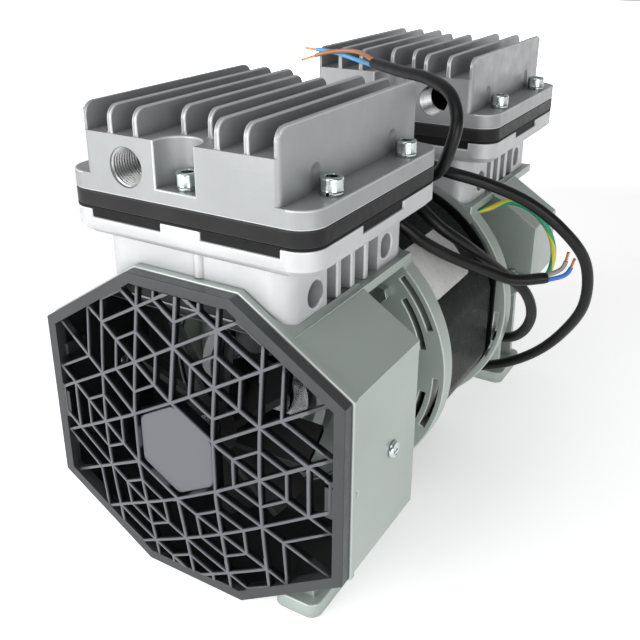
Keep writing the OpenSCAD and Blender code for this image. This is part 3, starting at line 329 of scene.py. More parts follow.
def lamination(name):
    """Black painted stack of steel sheets, seen edge on."""
    m = Mat(name, (0.005, 0.005, 0.006), 0.0, 0.30, specular=0.10)
    f = m.bands("Y", 0.0006, 0.00012)
    m.base(m.mix(m.ramp(f, 0.0, 0.35, 0.5, 0.0), m.color, (0.004, 0.004, 0.004)))
    m.blotches(120, 0.4, tint=(0.018, 0.018, 0.02), lo=0.55, hi=0.8)
    m.gloss(180, 0.05)
    m.grain(900, 0.00005)
    return m.m


def striped_wire(name, a, b):
    """Insulation with a broad stripe of a second colour, which winds round the wire along the sweep's UV."""
    turns_per_metre = 22.0
    m = Mat(name, a, 0.0, 0.32, coat=0.3)
    sep = node_of(m.nt, "ShaderNodeSeparateXYZ")
    m.link(m.tc.outputs["UV"], sep.inputs["Vector"])
    turned = m.calc("ADD", sep.outputs["X"], m.calc("MULTIPLY", sep.outputs["Y"], turns_per_metre))
    w = m.calc("PINGPONG", turned, 0.5)
    m.base(m.mix(m.ramp(w, 0.33, 0.35), m.color, b))
    m.blotches(300, 0.2, tint=shade(a, 0.7), lo=0.55, hi=0.8)
    m.gloss(600, 0.06)
    m.grain(2500, 0.00004)
    return m.m


MATS = {
    "grille_plastic": grille_plastic("grille_plastic"),
    "case_cast": smooth_casting("case_cast", (0.46, 0.52, 0.485), 0.36, 0.40, (0.70, 0.73, 0.71)),
    "block_cast": casting("block_cast", (0.60, 0.61, 0.615), 0.46, 0.00008, 0.35, shaded=True),
    "head_cast": casting("head_cast", (0.37, 0.38, 0.385), 0.42, 0.00005, 0.4),
    "plate_black": plastic("plate_black", (0.026, 0.026, 0.027), 0.42, 0.00006,
                           edge=(0.07, 0.07, 0.07), specular=0.12),
    "gasket_black": plastic("gasket_black", (0.010, 0.010, 0.010), 0.65, 0.00008, specular=0.2),
    "zinc_screw": polished("zinc_screw", (0.66, 0.71, 0.71), 0.17, 0.00003, tint=(0.42, 0.62, 0.58)),
    "bare_steel": polished("bare_steel", (0.50, 0.51, 0.52), 0.22, 0.00002, (1, 40, 1)),
    "liner_hard": polished("liner_hard", (0.52, 0.53, 0.54), 0.20, 0.00002, (1, 1, 30)),
    "spring_steel": polished("spring_steel", (0.36, 0.39, 0.43), 0.25, 0.00001, (40, 1, 1)),
    "piston_cast": casting("piston_cast", (0.62, 0.63, 0.64), 0.40, 0.00008),
    "seal_filled": plastic("seal_filled", (0.10, 0.06, 0.035), 0.5, 0.00003),
    "iron_crank": casting("iron_crank", (0.20, 0.205, 0.215), 0.42, 0.00010, 0.85, (0.5, 0.5, 0.5)),
    "fan_plastic": plastic("fan_plastic", (0.012, 0.012, 0.013), 0.45, 0.00004, specular=0.3),
    "lamination": lamination("lamination"),
    "core_steel": polished("core_steel", (0.30, 0.31, 0.33), 0.4, 0.00003, (1, 60, 1)),
    "winding_copper": polished("winding_copper", (0.55, 0.23, 0.09), 0.28, 0.00012, (1, 30, 1)),
    "label_foil": plastic("label_foil", (0.70, 0.70, 0.68), 0.30, 0.00002, coat=0.2),
    "cable_black": plastic("cable_black", (0.006, 0.006, 0.007), 0.34, 0.00003, specular=0.28),
    "terminal_tin": polished("terminal_tin", (0.66, 0.62, 0.52), 0.25, 0.00004),
    "earth_colour": striped_wire("earth_colour", (0.02, 0.36, 0.17), (0.72, 0.66, 0.04)),
    "core_colour": plastic("core_colour", (0.55, 0.22, 0.10), 0.35, 0.00003, coat=0.3),
}
BLUE = plastic("core_blue", (0.03, 0.17, 0.62), 0.35, 0.00003, coat=0.3)
LIGHT_BLUE = plastic("core_light_blue", (0.10, 0.42, 0.80), 0.35, 0.00003, coat=0.3)
BROWN = plastic("core_brown", (0.50, 0.20, 0.09), 0.35, 0.00003, coat=0.3)
GREY = plastic("core_grey", (0.30, 0.28, 0.27), 0.38, 0.00003, coat=0.3)
COPPER = polished("copper_strands", (0.80, 0.38, 0.20), 0.28, 0.00010)
THREAD = polished("cut_thread", (0.56, 0.56, 0.56), 0.30, 0.00002)

for node, slot in SLOT_OF.items():
    ob = NODES[node]
    ob.data.materials.clear()
    ob.data.materials.append(MATS[slot])


# ---------------------------------------------------------------- mesh helpers
def add_mesh(name, bm, mat, smooth):
    """An object of a mesh, shaded smooth over edges below an angle in degrees, or flat with None."""
    me = bpy.data.meshes.new(name)
    bm.normal_update()
    bm.to_mesh(me)
    bm.free()
    ob = bpy.data.objects.new(name, me)
    bpy.context.scene.collection.objects.link(ob)
    me.materials.append(mat)
    if smooth is not None:
        me.shade_smooth()
        me.set_sharp_from_angle(angle=math.radians(smooth))
    return ob


def claim(ob, node, replaced=True):
    """Puts a piece on the body of a node, and hides the node if it stands for it."""
    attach(ob, BODY_OF[node])
    if replaced:
        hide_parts(node)
    return ob


def room_beside(e):
    """The least distance from an edge to a corner of its own faces that lies beside it."""
    a, b = (v.co for v in e.verts)
    along = b - a
    length = max(along.length, TINY)
    along = along / length
    least = 1.0  # a metre, more than any face has
    for f in e.link_faces:
        for v in f.verts:
            if v in e.verts:
                continue
            t = (v.co - a).dot(along)
            if 0.0 < t < length:
                least = min(least, (v.co - a - along * t).length)
    return least


def flat_areas(bm):
    """For every face, the area of the flat region that it is part of."""
    same_way = 0.99999  # least cosine between the normals of one region
    area, seen = {}, set()
    for start in bm.faces:
        if start in seen:
            continue
        seen.add(start)
        region, todo = [], [start]
        while todo:
            f = todo.pop()
            region.append(f)
            for e in f.edges:
                for g in e.link_faces:
                    if g not in seen and g.normal.dot(start.normal) > same_way:
                        seen.add(g)
                        todo.append(g)
        total = sum(f.calc_area() for f in region)
        area.update((f, total) for f in region)
    return area


def add_flat(name, bm, mat, angle):
    """A mesh whose corner normals follow the largest faces round them, so that flat faces look flat."""
    favour_large = 1.5  # power of a region's area in its weight
    bm.normal_update()
    bm.faces.index_update()
    bm.verts.index_update()
    area = flat_areas(bm)
    limit = math.radians(angle)
    soft = {e for e in bm.edges if len(e.link_faces) == 2 and e.calc_face_angle(0) < limit}
    normal_at = {}
    for v in bm.verts:
        left = set(v.link_faces)
        edges = [e for e in v.link_edges if e in soft]
        while left:
            group, todo = [], [left.pop()]
            while todo:
                f = todo.pop()
                group.append(f)
                for e in edges:
                    if f in e.link_faces:
                        for g in e.link_faces:
                            if g in left:
                                left.discard(g)
                                todo.append(g)
            n = Vector()
            for f in sorted(group, key=lambda f: f.index):
                n += f.normal * area[f] ** favour_large
            n = n.normalized() if n.length else group[0].normal
            for f in group:
                normal_at[f.index, v.index] = n
    ob = add_mesh(name, bm, mat, angle)
    me = ob.data
    me.normals_split_custom_set([normal_at[face.index, me.loops[i].vertex_index]
                                 for face in me.polygons for i in face.loop_indices])
    return ob


def folds(bm, tree):
    """Corners and total area of the triangles that lie upside down on the shape that the tree holds."""
    least_area, least_turn, on_shape = 1e-10, -0.3, 0.4 * MM
    corners, area = set(), 0.0
    for loops in bm.calc_loop_triangles():
        a, b, c = (loop.vert.co for loop in loops)
        n = (b - a).cross(c - a)
        if n.length / 2 < least_area:
            continue
        _, there, _, gap = tree.find_nearest((a + b + c) / 3)
        if there.dot(n) < least_turn * n.length and gap < on_shape:
            corners.update(v.copy().freeze() for v in (a, b, c))
            area += n.length / 2
    return corners, area


def lies_near(e, points, reach):
    """Whether an edge passes within reach of any of the points, which are in a tree."""
    a, b = (v.co for v in e.verts)
    for p, _, _ in points.find_range((a + b) / 2, (b - a).length / 2 + reach):
        _, t = geometry.intersect_point_line(p, a, b)
        if (a.lerp(b, min(1.0, max(0.0, t))) - p).length < reach:
            return True
    return False


def dress(node, width, segments):
    """A copy of a node with its outer edges rounded, standing for the node."""
    weld, flat, sharp, soft = 2e-6, math.radians(0.3), math.radians(32), 48.0
    tries, folds_allowed = 5, 1e-6
    raw = bmesh.new()
    raw.from_mesh(NODES[node].data)
    bmesh.ops.remove_doubles(raw, verts=raw.verts, dist=weld)
    raw.faces.layers.float.new("painted_highlight")
    tree = BVHTree.FromBMesh(raw)
    folded, bm = set(), None
    for _ in range(tries):
        if bm:
            bm.free()
        bm = raw.copy()
        avoid = KDTree(len(folded))
        for i, corner in enumerate(sorted(folded, key=tuple)):
            avoid.insert(corner, i)
        avoid.balance()
        bmesh.ops.dissolve_limit(bm, angle_limit=flat, verts=bm.verts, edges=bm.edges)
        # Hollow edges, edges with a corner of their own face close beside them and edges that folded stay sharp
        outer = {e for e in bm.edges
                 if len(e.link_faces) == 2 and e.calc_face_angle(0) > sharp and e.is_convex
                 and room_beside(e) > 2.2 * width and not lies_near(e, avoid, 2 * width)}
        bmesh.ops.triangulate(bm, faces=[f for f in bm.faces if len(f.verts) > 3])
        made = bmesh.ops.bevel(bm, geom=[e for e in bm.edges if e in outer], offset=width,
                               offset_type="OFFSET", segments=segments, profile=0.5, affect="EDGES",
                               clamp_overlap=False, loop_slide=False, miter_outer="SHARP")
        # The faces of the rounding carry the mark for the painted edge highlight
        painted_highlight = bm.faces.layers.float["painted_highlight"]
        for f in made["faces"]:
            f[painted_highlight] = 1.0
        corners, area = folds(bm, tree)
        if area < folds_allowed:
            break
        folded |= corners
    raw.free()
    return claim(add_flat(node + "_shape", bm, MATS[SLOT_OF[node]], soft), node)


def smooth_path(points, step):
    """Centripetal Catmull-Rom curve through the points, resampled at even steps, and its length."""
    per_span = 16
    p = [Vector(q) for q in points]
    p = [p[0] * 2 - p[1]] + p + [p[-1] * 2 - p[-2]]
    dense = []
    for a, b, c, d in zip(p, p[1:], p[2:], p[3:]):
        t0 = 0.0
        t1 = t0 + max((b - a).length, TINY) ** 0.5
        t2 = t1 + max((c - b).length, TINY) ** 0.5
        t3 = t2 + max((d - c).length, TINY) ** 0.5
        for k in range(per_span):
            t = t1 + (t2 - t1) * k / per_span
            a1 = a * ((t1 - t) / (t1 - t0)) + b * ((t - t0) / (t1 - t0))
            a2 = b * ((t2 - t) / (t2 - t1)) + c * ((t - t1) / (t2 - t1))
            a3 = c * ((t3 - t) / (t3 - t2)) + d * ((t - t2) / (t3 - t2))
            b1 = a1 * ((t2 - t) / (t2 - t0)) + a2 * ((t - t0) / (t2 - t0))
            b2 = a2 * ((t3 - t) / (t3 - t1)) + a3 * ((t - t1) / (t3 - t1))
            dense.append(b1 * ((t2 - t) / (t2 - t1)) + b2 * ((t - t1) / (t2 - t1)))
    dense.append(p[-2].copy())
    s = [0.0]
    for a, b in zip(dense, dense[1:]):
        s.append(s[-1] + (b - a).length)
    n = max(4, round(s[-1] / step))
    out, j = [], 0
    for i in range(n + 1):
        want = s[-1] * i / n
        while j < len(s) - 2 and s[j + 1] < want:
            j += 1
        f = (want - s[j]) / max(s[j + 1] - s[j], 1e-12)
        out.append(dense[j].lerp(dense[j + 1], min(1.0, f)))
    return out, s[-1]


def sweep(bm, path, radius, sides, taper=None):
    """A closed tube along a path, with U round it and V along it in metres; taper scales its radius."""
    uv = bm.loops.layers.uv.verify()
    rings, lengths = [], [0.0]
    t = (path[1] - path[0]).normalized()
    u = t.orthogonal().normalized()
    for i, q in enumerate(path):
        if i:
            lengths.append(lengths[-1] + (q - path[i - 1]).length)
        a = path[max(i - 1, 0)]
        b = path[min(i + 1, len(path) - 1)]
        t = (b - a).normalized()
        u = (u - t * u.dot(t)).normalized()
        w = t.cross(u)
        r = radius * (taper(i / (len(path) - 1)) if taper else 1.0)
        ring = []
        for k in range(sides):
            ang = 2 * math.pi * k / sides
            ring.append(bm.verts.new(q + u * (r * math.cos(ang)) + w * (r * math.sin(ang))))
        rings.append(ring)
    for i in range(len(rings) - 1):
        for k in range(sides):
            k1 = (k + 1) % sides
            f = bm.faces.new((rings[i][k], rings[i][k1], rings[i + 1][k1], rings[i + 1][k]))
            for loop, (kk, ii) in zip(f.loops, ((k, i), (k + 1, i), (k + 1, i + 1), (k, i + 1))):
                loop[uv].uv = (kk / sides, lengths[ii])
    bm.faces.new(list(reversed(rings[0])))
    bm.faces.new(rings[-1])


def lathe(bm, profile, segments, place, axis_turn=None):
    """Revolves (radius, height) pairs about Z, then puts the result at place with axis_turn."""
    m = Matrix.Translation(place) @ (axis_turn.to_4x4() if axis_turn else Matrix.Identity(4))
    rings = []
    for r, h in profile:
        if r < TINY:
            rings.append([bm.verts.new(m @ Vector((0, 0, h)))])
        else:
            rings.append([bm.verts.new(m @ Vector((r * math.cos(2 * math.pi * k / segments),
                                                   r * math.sin(2 * math.pi * k / segments), h)))
                          for k in range(segments)])
    for a, b in zip(rings, rings[1:]):
        for k in range(segments):
            k1 = (k + 1) % segments
            if len(a) == 1 and len(b) == 1:
                continue
            if len(a) == 1:
                bm.faces.new((a[0], b[k1], b[k]))
            elif len(b) == 1:
                bm.faces.new((a[k], a[k1], b[0]))
            else:
                bm.faces.new((a[k], a[k1], b[k1], b[k]))


# ---------------------------------------------------------------- cables
# Points in mm as P() takes them, from each cable's fixed end to its free end
FRONT_CABLE = [
    (22, 190, -45), (23.5, 196, -45.5), (27.7, 200.4, -46.8), (33.4, 202, -48.6), (47, 205.5, -49.5),
    (62, 207.5, -44), (78, 206, -32), (92, 200, -14), (103, 189, 10), (103, 178, 36), (93, 167, 54),
    (78, 159, 67), (61, 146, 77), (46, 138, 82), (31, 141, 84), (16, 148, 84), (2, 155, 84),
    (-12, 159, 84), (-25, 154, 83), (-29, 143, 81), (-21, 132, 80), (-5, 130, 79), (15, 131, 79),
    (35, 128, 80), (48, 121, 86), (55, 115, 97), (57, 117, 110), (51, 124, 119), (37, 134, 123),
    (16, 148, 123), (-6, 164, 123)]
SIDE_CABLE = [
    (44, 190, -24), (45.5, 195.8, -24.3), (49.6, 200, -25.2), (55.3, 201.5, -26.3), (64, 200.5, -24.5),
    (72, 196, -17), (77.5, 189, -3), (76, 178, 14), (67, 166, 27), (55, 143, 47), (45, 134, 57),
    (34, 133, 66), (20, 138, 71), (6, 138, 72), (-5, 131, 72), (-6, 119, 71), (2, 110, 70), (15, 108, 69),
    (27, 110, 67), (36, 113, 62), (43, 118, 55), (53, 132, 44), (65, 148, 34), (76, 158, 28), (89, 166, 29)]
EARTH_WIRE = [
    (38, 185, 44), (39, 193, 45), (46, 200, 47), (56, 204, 51), (68, 204.5, 48), (77, 205, 39),
    (81, 205.5, 27), (79, 206, 14), (74, 206.2, 9.4), (68, 206.2, 9)]
FRONT_BROWN = [(-6, 164, 124.3), (-18, 169, 127), (-33, 168, 126), (-49, 167, 121)]
FRONT_BLUE = [(-6, 164, 121.7), (-17, 170, 122.5), (-32, 171, 125.5), (-48, 169, 127)]
SIDE_BROWN = [(89, 166, 30.3), (95, 168, 34.5), (97, 168, 43)]
SIDE_BLUE = [(89, 166, 27.7), (97, 169, 31.5), (100, 169, 40)]


def cable(node, points, radius, mat):
    """The sheath of a cable, standing for its node; returns it with its path and length."""
    step, rounded = 2 * MM, 1.2 * MM
    path, length = smooth_path([P(*q) for q in points], step)

    def taper(f):
        to_end = (1 - f) * length
        return 1.0 if to_end > rounded else 0.9 + 0.1 * to_end / rounded

    bm = bmesh.new()
    sweep(bm, path, radius, 20, taper)
    ob = add_mesh(node + "_sheath", bm, mat, smooth=40)
    claim(ob, node)
    return ob, path, length


def bare_core(bm, points, radius, strip):
    """Insulated core whose last share, strip, is bare; returns the stretch of path left for the strands."""
    step = 1.2 * MM
    path, _ = smooth_path([P(*q) for q in points], step)
    cut = max(3, round(len(path) * (1 - strip)))
    sweep(bm, path[:cut + 1], radius, 14, taper=lambda f: 0.88 if f > 0.985 else 1.0)
    return path[cut:]


def core_set(name, node, parts):
    """Cores of one cable: two insulated cores in their own colours, each with bare copper strands."""
    core_radius, strand_radius, from_middle, round_it = 1.1 * MM, 0.24 * MM, 0.42 * MM, 6
    lay, spread = 1.6, 0.15  # turn of the strands in radians and how far they part, at their ends
    made = []
    for tag, points, mat, strip in parts:
        bm = bmesh.new()
        rest = bare_core(bm, points, core_radius, strip)
        core = add_mesh(f"{name}_{tag}_insulation", bm, mat, smooth=50)
        bm = bmesh.new()
        axis = (rest[-1] - rest[0]).normalized()
        side = axis.orthogonal().normalized()
        for k in range(round_it + 1):
            a = 2 * math.pi * k / round_it
            off = (side * math.cos(a) + axis.cross(side) * math.sin(a)) * from_middle
            if k == round_it:
                off = Vector((0, 0, 0))
            turned = []
            for i, q in enumerate(rest):
                f = i / max(1, len(rest) - 1)
                spin = Matrix.Rotation(lay * f, 3, axis)
                turned.append(q + (spin @ off) * (1 + spread * f))
            sweep(bm, turned, strand_radius, 7)
        strands = add_mesh(f"{name}_{tag}_strands", bm, COPPER, smooth=60)
        for ob in (core, strands):
            claim(ob, node)
            made.append(ob)
    return made


front_cores = core_set("front", "front_cable_cores", [("brown", FRONT_BROWN, BROWN, 0.20),
                                                      ("blue", FRONT_BLUE, LIGHT_BLUE, 0.16)])
side_cores = core_set("side", "side_cable_cores", [("grey", SIDE_BROWN, GREY, 0.34),
                                                   ("blue", SIDE_BLUE, BLUE, 0.30)])
CABLE_D, EARTH_D = 0.0055, 0.003
front_sheath, front_path, front_len = cable("front_cable", FRONT_CABLE, CABLE_D / 2, MATS["cable_black"])
side_sheath, side_path, side_len = cable("side_cable", SIDE_CABLE, CABLE_D / 2, MATS["cable_black"])
earth_sheath, earth_path, earth_len = cable("earth_wire", EARTH_WIRE, EARTH_D / 2, MATS["earth_colour"])


# ---------------------------------------------------------------- rounded edges
# Width of the rounding in metres and its number of steps
DRESSED = {
    "front_grille": (0.0004, 3), "front_crankcase": (0.0006, 2), "rear_crankcase": (0.0006, 2),
    "front_block": (0.0007, 2), "rear_block": (0.0007, 2), "front_head": (0.0006, 3), "rear_head": (0.0006, 3),
    "front_valve_plate": (0.0005, 2), "rear_valve_plate": (0.0005, 2),
    "front_fan": (0.0004, 2), "rear_fan": (0.0004, 2), "rear_cover": (0.0004, 2), "tie_bolts": (0.0003, 2),
    "cable_glands": (0.0004, 2), "front_crank": (0.0005, 2), "rear_crank": (0.0005, 2),
    "front_piston": (0.0005, 2), "rear_piston": (0.0005, 2), "front_fan_arbor": (0.0004, 2),
    "rear_fan_arbor": (0.0004, 2), "shaft": (0.0004, 2), "motor_shell": (0.0004, 2),
}
dressed = {node: dress(node, width, segments) for node, (width, segments) in DRESSED.items()}

# The plate in the middle of the grille reaches nearly to the ring round it, and lies less far behind it
PLATE_R, PLATE_GROWS, PLATE_RISES = 0.0194, 1.065, 0.0008
PLATE_MIDDLE = RIM_Y - 0.0039  # between the plate's front and its back
for v in dressed["front_grille"].data.vertices:
    if math.hypot(v.co.x, v.co.z - AXIS_Z) < PLATE_R:
        v.co.x *= PLATE_GROWS
        v.co.z = AXIS_Z + (v.co.z - AXIS_Z) * PLATE_GROWS
        if v.co.y < PLATE_MIDDLE:
            v.co.y -= PLATE_RISES

# ---------------------------------------------------------------- head screws, washers and threads
# In mm: the front cylinder's axis behind the rim, the head's ledge and underside above the shaft, and the
# floor of the head's pockets above its underside
YC, LEDGE, HEAD, FLOOR = 56.6, 101.6, 94.6, 5.5
MIRROR = 281.0  # a place behind the rim and its like on the rear unit add up to this


def screw_places(rear):
    """Places of the six washers of a head: four on its ledges and two in its pockets."""
    out = []
    for sx in (-1, 1):
        for sy in (-1, 1):
            out.append((sx * 48.6, YC + sy * 29.5, LEDGE))
    for sy in (-1, 1):
        out.append((0, YC + sy * 46, HEAD + FLOOR))
    return [(x, MIRROR - y if rear else y, z) for x, y, z in out]


def socket_screw(bm, x, y, z, turn):
    """Knurled cap screw with a hexagon socket, its head on the washer that lies at z."""
    washer, n, knurls, knurl_depth = 1.3, 72, 36, 0.03
    base = P(x, y, z + washer)
    rot = Matrix.Rotation(turn, 4, "Z")

    def ring(r, h, knurl=0.0, hexagon=None):
        vs = []
        for k in range(n):
            a = 2 * math.pi * k / n
            rr = r * (1 - knurl * (0.5 - 0.5 * math.cos(a * knurls)))
            if hexagon:
                b = (a % (math.pi / 3)) - math.pi / 6
                rr = hexagon / math.cos(b)
            vs.append(bm.verts.new(base + rot @ Vector((rr * math.cos(a), rr * math.sin(a), h)) * MM))
        return vs

    rings = [ring(4.05, 0), ring(4.25, 0.25), ring(4.25, 0.5, knurl_depth), ring(4.25, 4.0, knurl_depth),
             ring(4.22, 4.25), ring(4.1, 4.65), ring(3.85, 4.92), ring(3.6, 5.0), ring(2.55, 5.0),
             ring(0, 4.72, hexagon=2.08), ring(0, 2.5, hexagon=2.0)]
    for a, b in zip(rings, rings[1:]):
        for k in range(n):
            bm.faces.new((a[k], a[(k + 1) % n], b[(k + 1) % n], b[k]))
    bm.faces.new(rings[-1])
    bm.faces.new(list(reversed(rings[0])))
    shank = ((0, -18.6), (2.0, -18.6), (2.45, -18.1), (2.45, 0.2), (0, 0.2))
    lathe(bm, [(r * MM, h * MM) for r, h in shank], 20, base)


def split_washer(bm, x, y, z, turn):
    """Spring washer with a cut and slightly lifted ends."""
    n, half_cut, lift = 44, 0.13, 0.048
    section = ((2.78, 0.06), (4.15, 0.06), (4.28, 0.2), (4.28, 1.05), (4.15, 1.2), (2.78, 1.2))
    base = P(x, y, z)
    rings = []
    for k in range(n + 1):
        f = k / n
        a = turn + half_cut + f * (2 * math.pi - 2 * half_cut)
        up = lift * (f - 0.5)
        rings.append([bm.verts.new(base + Vector((r * math.cos(a), r * math.sin(a), h + up)) * MM)
                      for r, h in section])
    m = len(rings[0])
    for a, b in zip(rings, rings[1:]):
        for k in range(m):
            bm.faces.new((a[k], b[k], b[(k + 1) % m], a[(k + 1) % m]))
    bm.faces.new(rings[0])
    bm.faces.new(list(reversed(rings[-1])))


for end, rear in (("front", False), ("rear", True)):
    places = screw_places(rear)
    bm = bmesh.new()
    for i, (x, y, z) in enumerate(places):
        socket_screw(bm, x, y, z, 0.4 + 1.7 * i)
    claim(add_mesh(end + "_socket_screws", bm, MATS["zinc_screw"], smooth=30), end + "_head_screws")
    bm = bmesh.new()
    for i, (x, y, z) in enumerate(places):
        split_washer(bm, x, y, z, 2.1 * i + 0.7)
    claim(add_mesh(end + "_split_washers", bm, MATS["zinc_screw"], smooth=30), end + "_head_washers")


PORT_X, PORT_Z = 22.9, 105.9  # the ports' axes across and above the shaft, in mm


def port_thread(name, node, x, y_face, inward):
    """Pipe thread of the port as one helical ridge on the bore, with a lead-in at its mouth."""
    pitch, depth, bore, start = 1.337, 0.62, 7.45, 0.7
    root, half_root, half_crest = bore + 0.02, 0.46, 0.07
    turns, per_turn, lead_in = 10.4, 40, 14
    bm = bmesh.new()
    rings = []
    total = int(turns * per_turn)
    for i in range(total + 1):
        a = 2 * math.pi * i / per_turn
        s = start + pitch * i / per_turn
        crest = bore - depth * min(1.0, i / lead_in, (total - i) / lead_in)
        ring = []
        for r, off in ((root, -half_root), (crest, -half_crest), (crest, half_crest), (root, half_root)):
            q = P(x + r * math.cos(a), y_face + inward * (s + off), PORT_Z + r * math.sin(a))
            ring.append(bm.verts.new(q))
        rings.append(ring)
    for a, b in zip(rings, rings[1:]):
        for k in range(3):
            bm.faces.new((a[k], b[k], b[k + 1], a[k + 1]))
    bmesh.ops.recalc_face_normals(bm, faces=bm.faces)
    ob = add_mesh(name, bm, THREAD, smooth=25)
    claim(ob, node, replaced=False)


port_thread("front_air_port_thread", "front_head", -PORT_X, 4.2, 1)
port_thread("front_inner_port_thread", "front_head", PORT_X, 109.0, -1)
port_thread("rear_inner_port_thread", "rear_head", PORT_X, 172.0, 1)
port_thread("rear_air_port_thread", "rear_head", -PORT_X, 276.8, -1)


# ---------------------------------------------------------------- side screws
def pan_head(bm, place, outward, shank):
    """Domed screw head with a cross recess, its axis along outward, on a shank of a length in mm."""
    r, h, n, narrow = 3.6, 1.8, 48, 6
    turn = Vector((0, 0, 1)).rotation_difference(outward).to_matrix()

    def ring(rad, z, dip=0.0):
        vs = []
        for k in range(n):
            a = 2 * math.pi * k / n
            cross = abs(math.cos(2 * a)) ** narrow
            at = Vector((rad * math.cos(a), rad * math.sin(a), z - dip * cross)) * MM
            vs.append(bm.verts.new(place + turn @ at))
        return vs

    rings = [ring(r * 0.96, 0.0), ring(r, 0.25), ring(r * 0.97, h * 0.55), ring(r * 0.86, h * 0.86),
             ring(r * 0.66, h * 0.98), ring(r * 0.60, h), ring(r * 0.56, h, 0.7), ring(r * 0.34, h, 0.95),
             ring(r * 0.20, h, 1.1), ring(r * 0.10, h - 0.55, 0.6)]
    for a, b in zip(rings, rings[1:]):
        for k in range(n):
            bm.faces.new((a[k], a[(k + 1) % n], b[(k + 1) % n], b[k]))
    bm.faces.new(rings[-1])
    bm.faces.new(list(reversed(rings[0])))
    profile = ((0, -shank), (1.6, -shank), (1.9, 0.4 - shank), (1.9, 0.1), (0, 0.1))
    lathe(bm, [(rad * MM, z * MM) for rad, z in profile], 16, place, turn)


GAP = 96 * 0.43 / 2 + 8  # between the cylinder's axis and the side screws of its block, in mm
bm = bmesh.new()
for sx in (-1, 1):
    pan_head(bm, P(sx * 70.02, 38.5, 0), Vector((sx, 0, 0)), shank=2.8)
for sx in (-1, 1):
    for dy in (-1, 1):
        for y in (YC + dy * GAP, MIRROR - YC - dy * GAP):
            pan_head(bm, P(sx * 36.02, y, 62.5), Vector((sx, 0, 0)), shank=5.8)
claim(add_mesh("side_pan_screws", bm, MATS["zinc_screw"], smooth=32), "side_screws")

# Earth screw on the shoulder of the rear crankcase
bm = bmesh.new()
pan_head(bm, P(60, 207.18, 9), Vector((0, -1, 0)), shank=2.9)
claim(add_mesh("earth_pan_screw", bm, MATS["zinc_screw"], smooth=32), "earth_screw")


# ---------------------------------------------------------------- label
def foil_label():
    """Plain foil patch that follows the round of the motor shell, with rounded corners and soft waves."""
    nu, nv = 40, 56
    start, end, y0, y1 = math.radians(29), math.radians(53), 109.0, 149.0
    under, thick, waves, corner = 64.06, 0.26, 0.012, 2.5
    width, height = (end - start) * under, y1 - y0
    bm = bmesh.new()
    top, bottom = {}, {}
    for i in range(nu + 1):
        for j in range(nv + 1):
            px, py = i / nu * width, j / nv * height
            dx = max(corner - px, px - (width - corner), 0)
            dy = max(corner - py, py - (height - corner), 0)
            d = math.hypot(dx, dy)
            if d > corner:
                k = corner / d
                cx = corner if px < corner else width - corner
                cy = corner if py < corner else height - corner
                px, py = cx + (px - cx) * k, cy + (py - cy) * k
            a = start + px / under
            wave = waves * math.sin(px * 0.5 + 1.0) * math.sin(py * 0.25)
            for side, h in ((top, thick + wave), (bottom, 0.0)):
                r = under + h
                side[i, j] = bm.verts.new(P(r * math.cos(a), y0 + py, r * math.sin(a)))
    for i in range(nu):
        for j in range(nv):
            bm.faces.new((top[i, j], top[i + 1, j], top[i + 1, j + 1], top[i, j + 1]))
            bm.faces.new((bottom[i, j], bottom[i, j + 1], bottom[i + 1, j + 1], bottom[i + 1, j]))
    loop = ([(i, 0) for i in range(nu)] + [(nu, j) for j in range(nv)] + [(i, nv) for i in range(nu, 0, -1)]
            + [(0, j) for j in range(nv, 0, -1)])
    for a, b in zip(loop, loop[1:] + loop[:1]):
        bm.faces.new((top[b], top[a], bottom[a], bottom[b]))
    bmesh.ops.recalc_face_normals(bm, faces=bm.faces)
    return claim(add_mesh("foil_label", bm, MATS["label_foil"], smooth=40), "label")


foil_label()


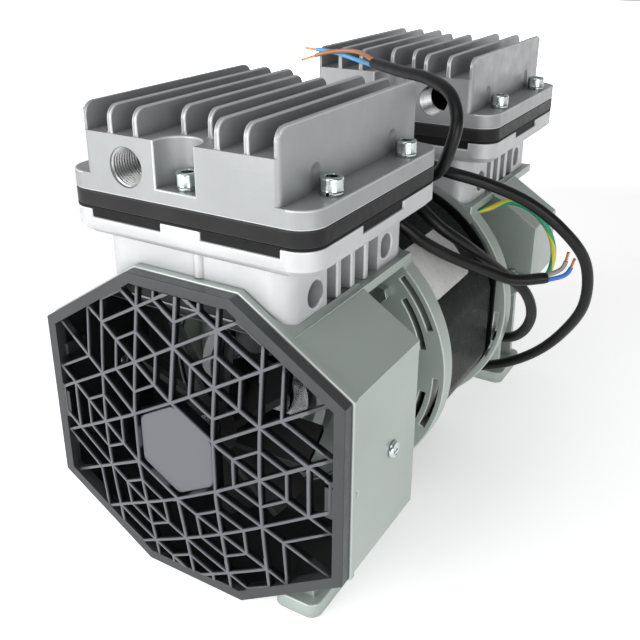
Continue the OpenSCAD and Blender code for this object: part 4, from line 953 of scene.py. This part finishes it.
# ---------------------------------------------------------------- studio
def studio():
    """Light world with a bright band at the horizon, four area lights and a white floor."""
    bpy.context.scene.view_settings.view_transform = "Standard"
    w = bpy.data.worlds.new("studio")
    bpy.context.scene.world = w
    w.use_nodes = True
    nt = w.node_tree
    nt.nodes.clear()
    out = nt.nodes.new("ShaderNodeOutputWorld")
    bg = nt.nodes.new("ShaderNodeBackground")
    tc = nt.nodes.new("ShaderNodeTexCoord")

    def towards(direction, stops):
        """Grey level by how far a ray looks along a direction."""
        dot = nt.nodes.new("ShaderNodeVectorMath")
        dot.operation = "DOT_PRODUCT"
        dot.inputs[1].default_value = Vector(direction).normalized()
        nt.links.new(tc.outputs["Generated"], dot.inputs[0])
        fit = nt.nodes.new("ShaderNodeMapRange")
        fit.inputs["From Min"].default_value = -1.0
        nt.links.new(dot.outputs["Value"], fit.inputs["Value"])
        ramp = nt.nodes.new("ShaderNodeValToRGB")
        e = ramp.color_ramp.elements
        while len(e) < len(stops):
            e.new(0.5)
        for el, (at, level) in zip(e, stops):
            el.position = at
            el.color = (level, level, level * 1.01, 1)
        nt.links.new(fit.outputs["Result"], ramp.inputs["Fac"])
        return ramp.outputs["Color"]

    sky = towards((0, 0, 1), ((0.0, 0.4), (0.44, 0.5), (0.49, 1.6), (0.54, 1.6), (0.62, 0.75), (1.0, 0.8)))
    side = towards((0.92, -0.30, 0.0), ((0.0, 1.0), (0.45, 0.9), (0.72, 0.55), (1.0, 0.30)))
    mul = nt.nodes.new("ShaderNodeMix")
    mul.data_type = "RGBA"
    mul.blend_type = "MULTIPLY"
    mul.inputs["Factor"].default_value = 1.0
    nt.links.new(sky, mul.inputs["A"])
    nt.links.new(side, mul.inputs["B"])
    nt.links.new(mul.outputs["Result"], bg.inputs["Color"])
    bg.inputs["Strength"].default_value = 0.6
    nt.links.new(bg.outputs["Background"], out.inputs["Surface"])

    def area(name, place, target, size, power):
        li = bpy.data.lights.new(name, "AREA")
        li.shape = "RECTANGLE"
        li.size, li.size_y = size
        li.energy = power
        ob = bpy.data.objects.new(name, li)
        ob.location = place
        ob.rotation_euler = (Vector(target) - Vector(place)).to_track_quat("-Z", "Y").to_euler()
        bpy.context.scene.collection.objects.link(ob)

    area("key", (-0.45, -1.12, 0.46), (0, -0.02, 0.10), (0.9, 0.6), 10)
    area("right", (0.95, -0.75, 0.30), (0.03, 0.02, 0.08), (0.8, 0.5), 4.2)
    area("top", (0.10, -0.70, 1.15), (0, 0.05, 0.15), (0.9, 0.6), 2.5)
    area("behind", (-0.4, 1.3, 1.1), (-0.9, 2.6, 0), (1.6, 0.8), 60)
    bm = bmesh.new()
    n, half_size, below = 24, 3.0, -0.0002
    line = [half_size * (i / n - 0.5) * 2 for i in range(n + 1)]
    grid = [[bm.verts.new((x, y, below)) for y in line] for x in line]
    for i in range(n):
        for j in range(n):
            bm.faces.new((grid[i][j], grid[i + 1][j], grid[i + 1][j + 1], grid[i][j + 1]))
    floor_mat = Mat("floor", (0.92, 0.92, 0.92), 0.0, 0.7, specular=0.2)
    floor_mat.blotches(3, 0.02)
    floor_mat.b.inputs["Emission Color"].default_value = (1, 1, 1, 1)
    floor_mat.b.inputs["Emission Strength"].default_value = 0.50
    floor = add_mesh("floor", bm, floor_mat.m, smooth=None)


studio()
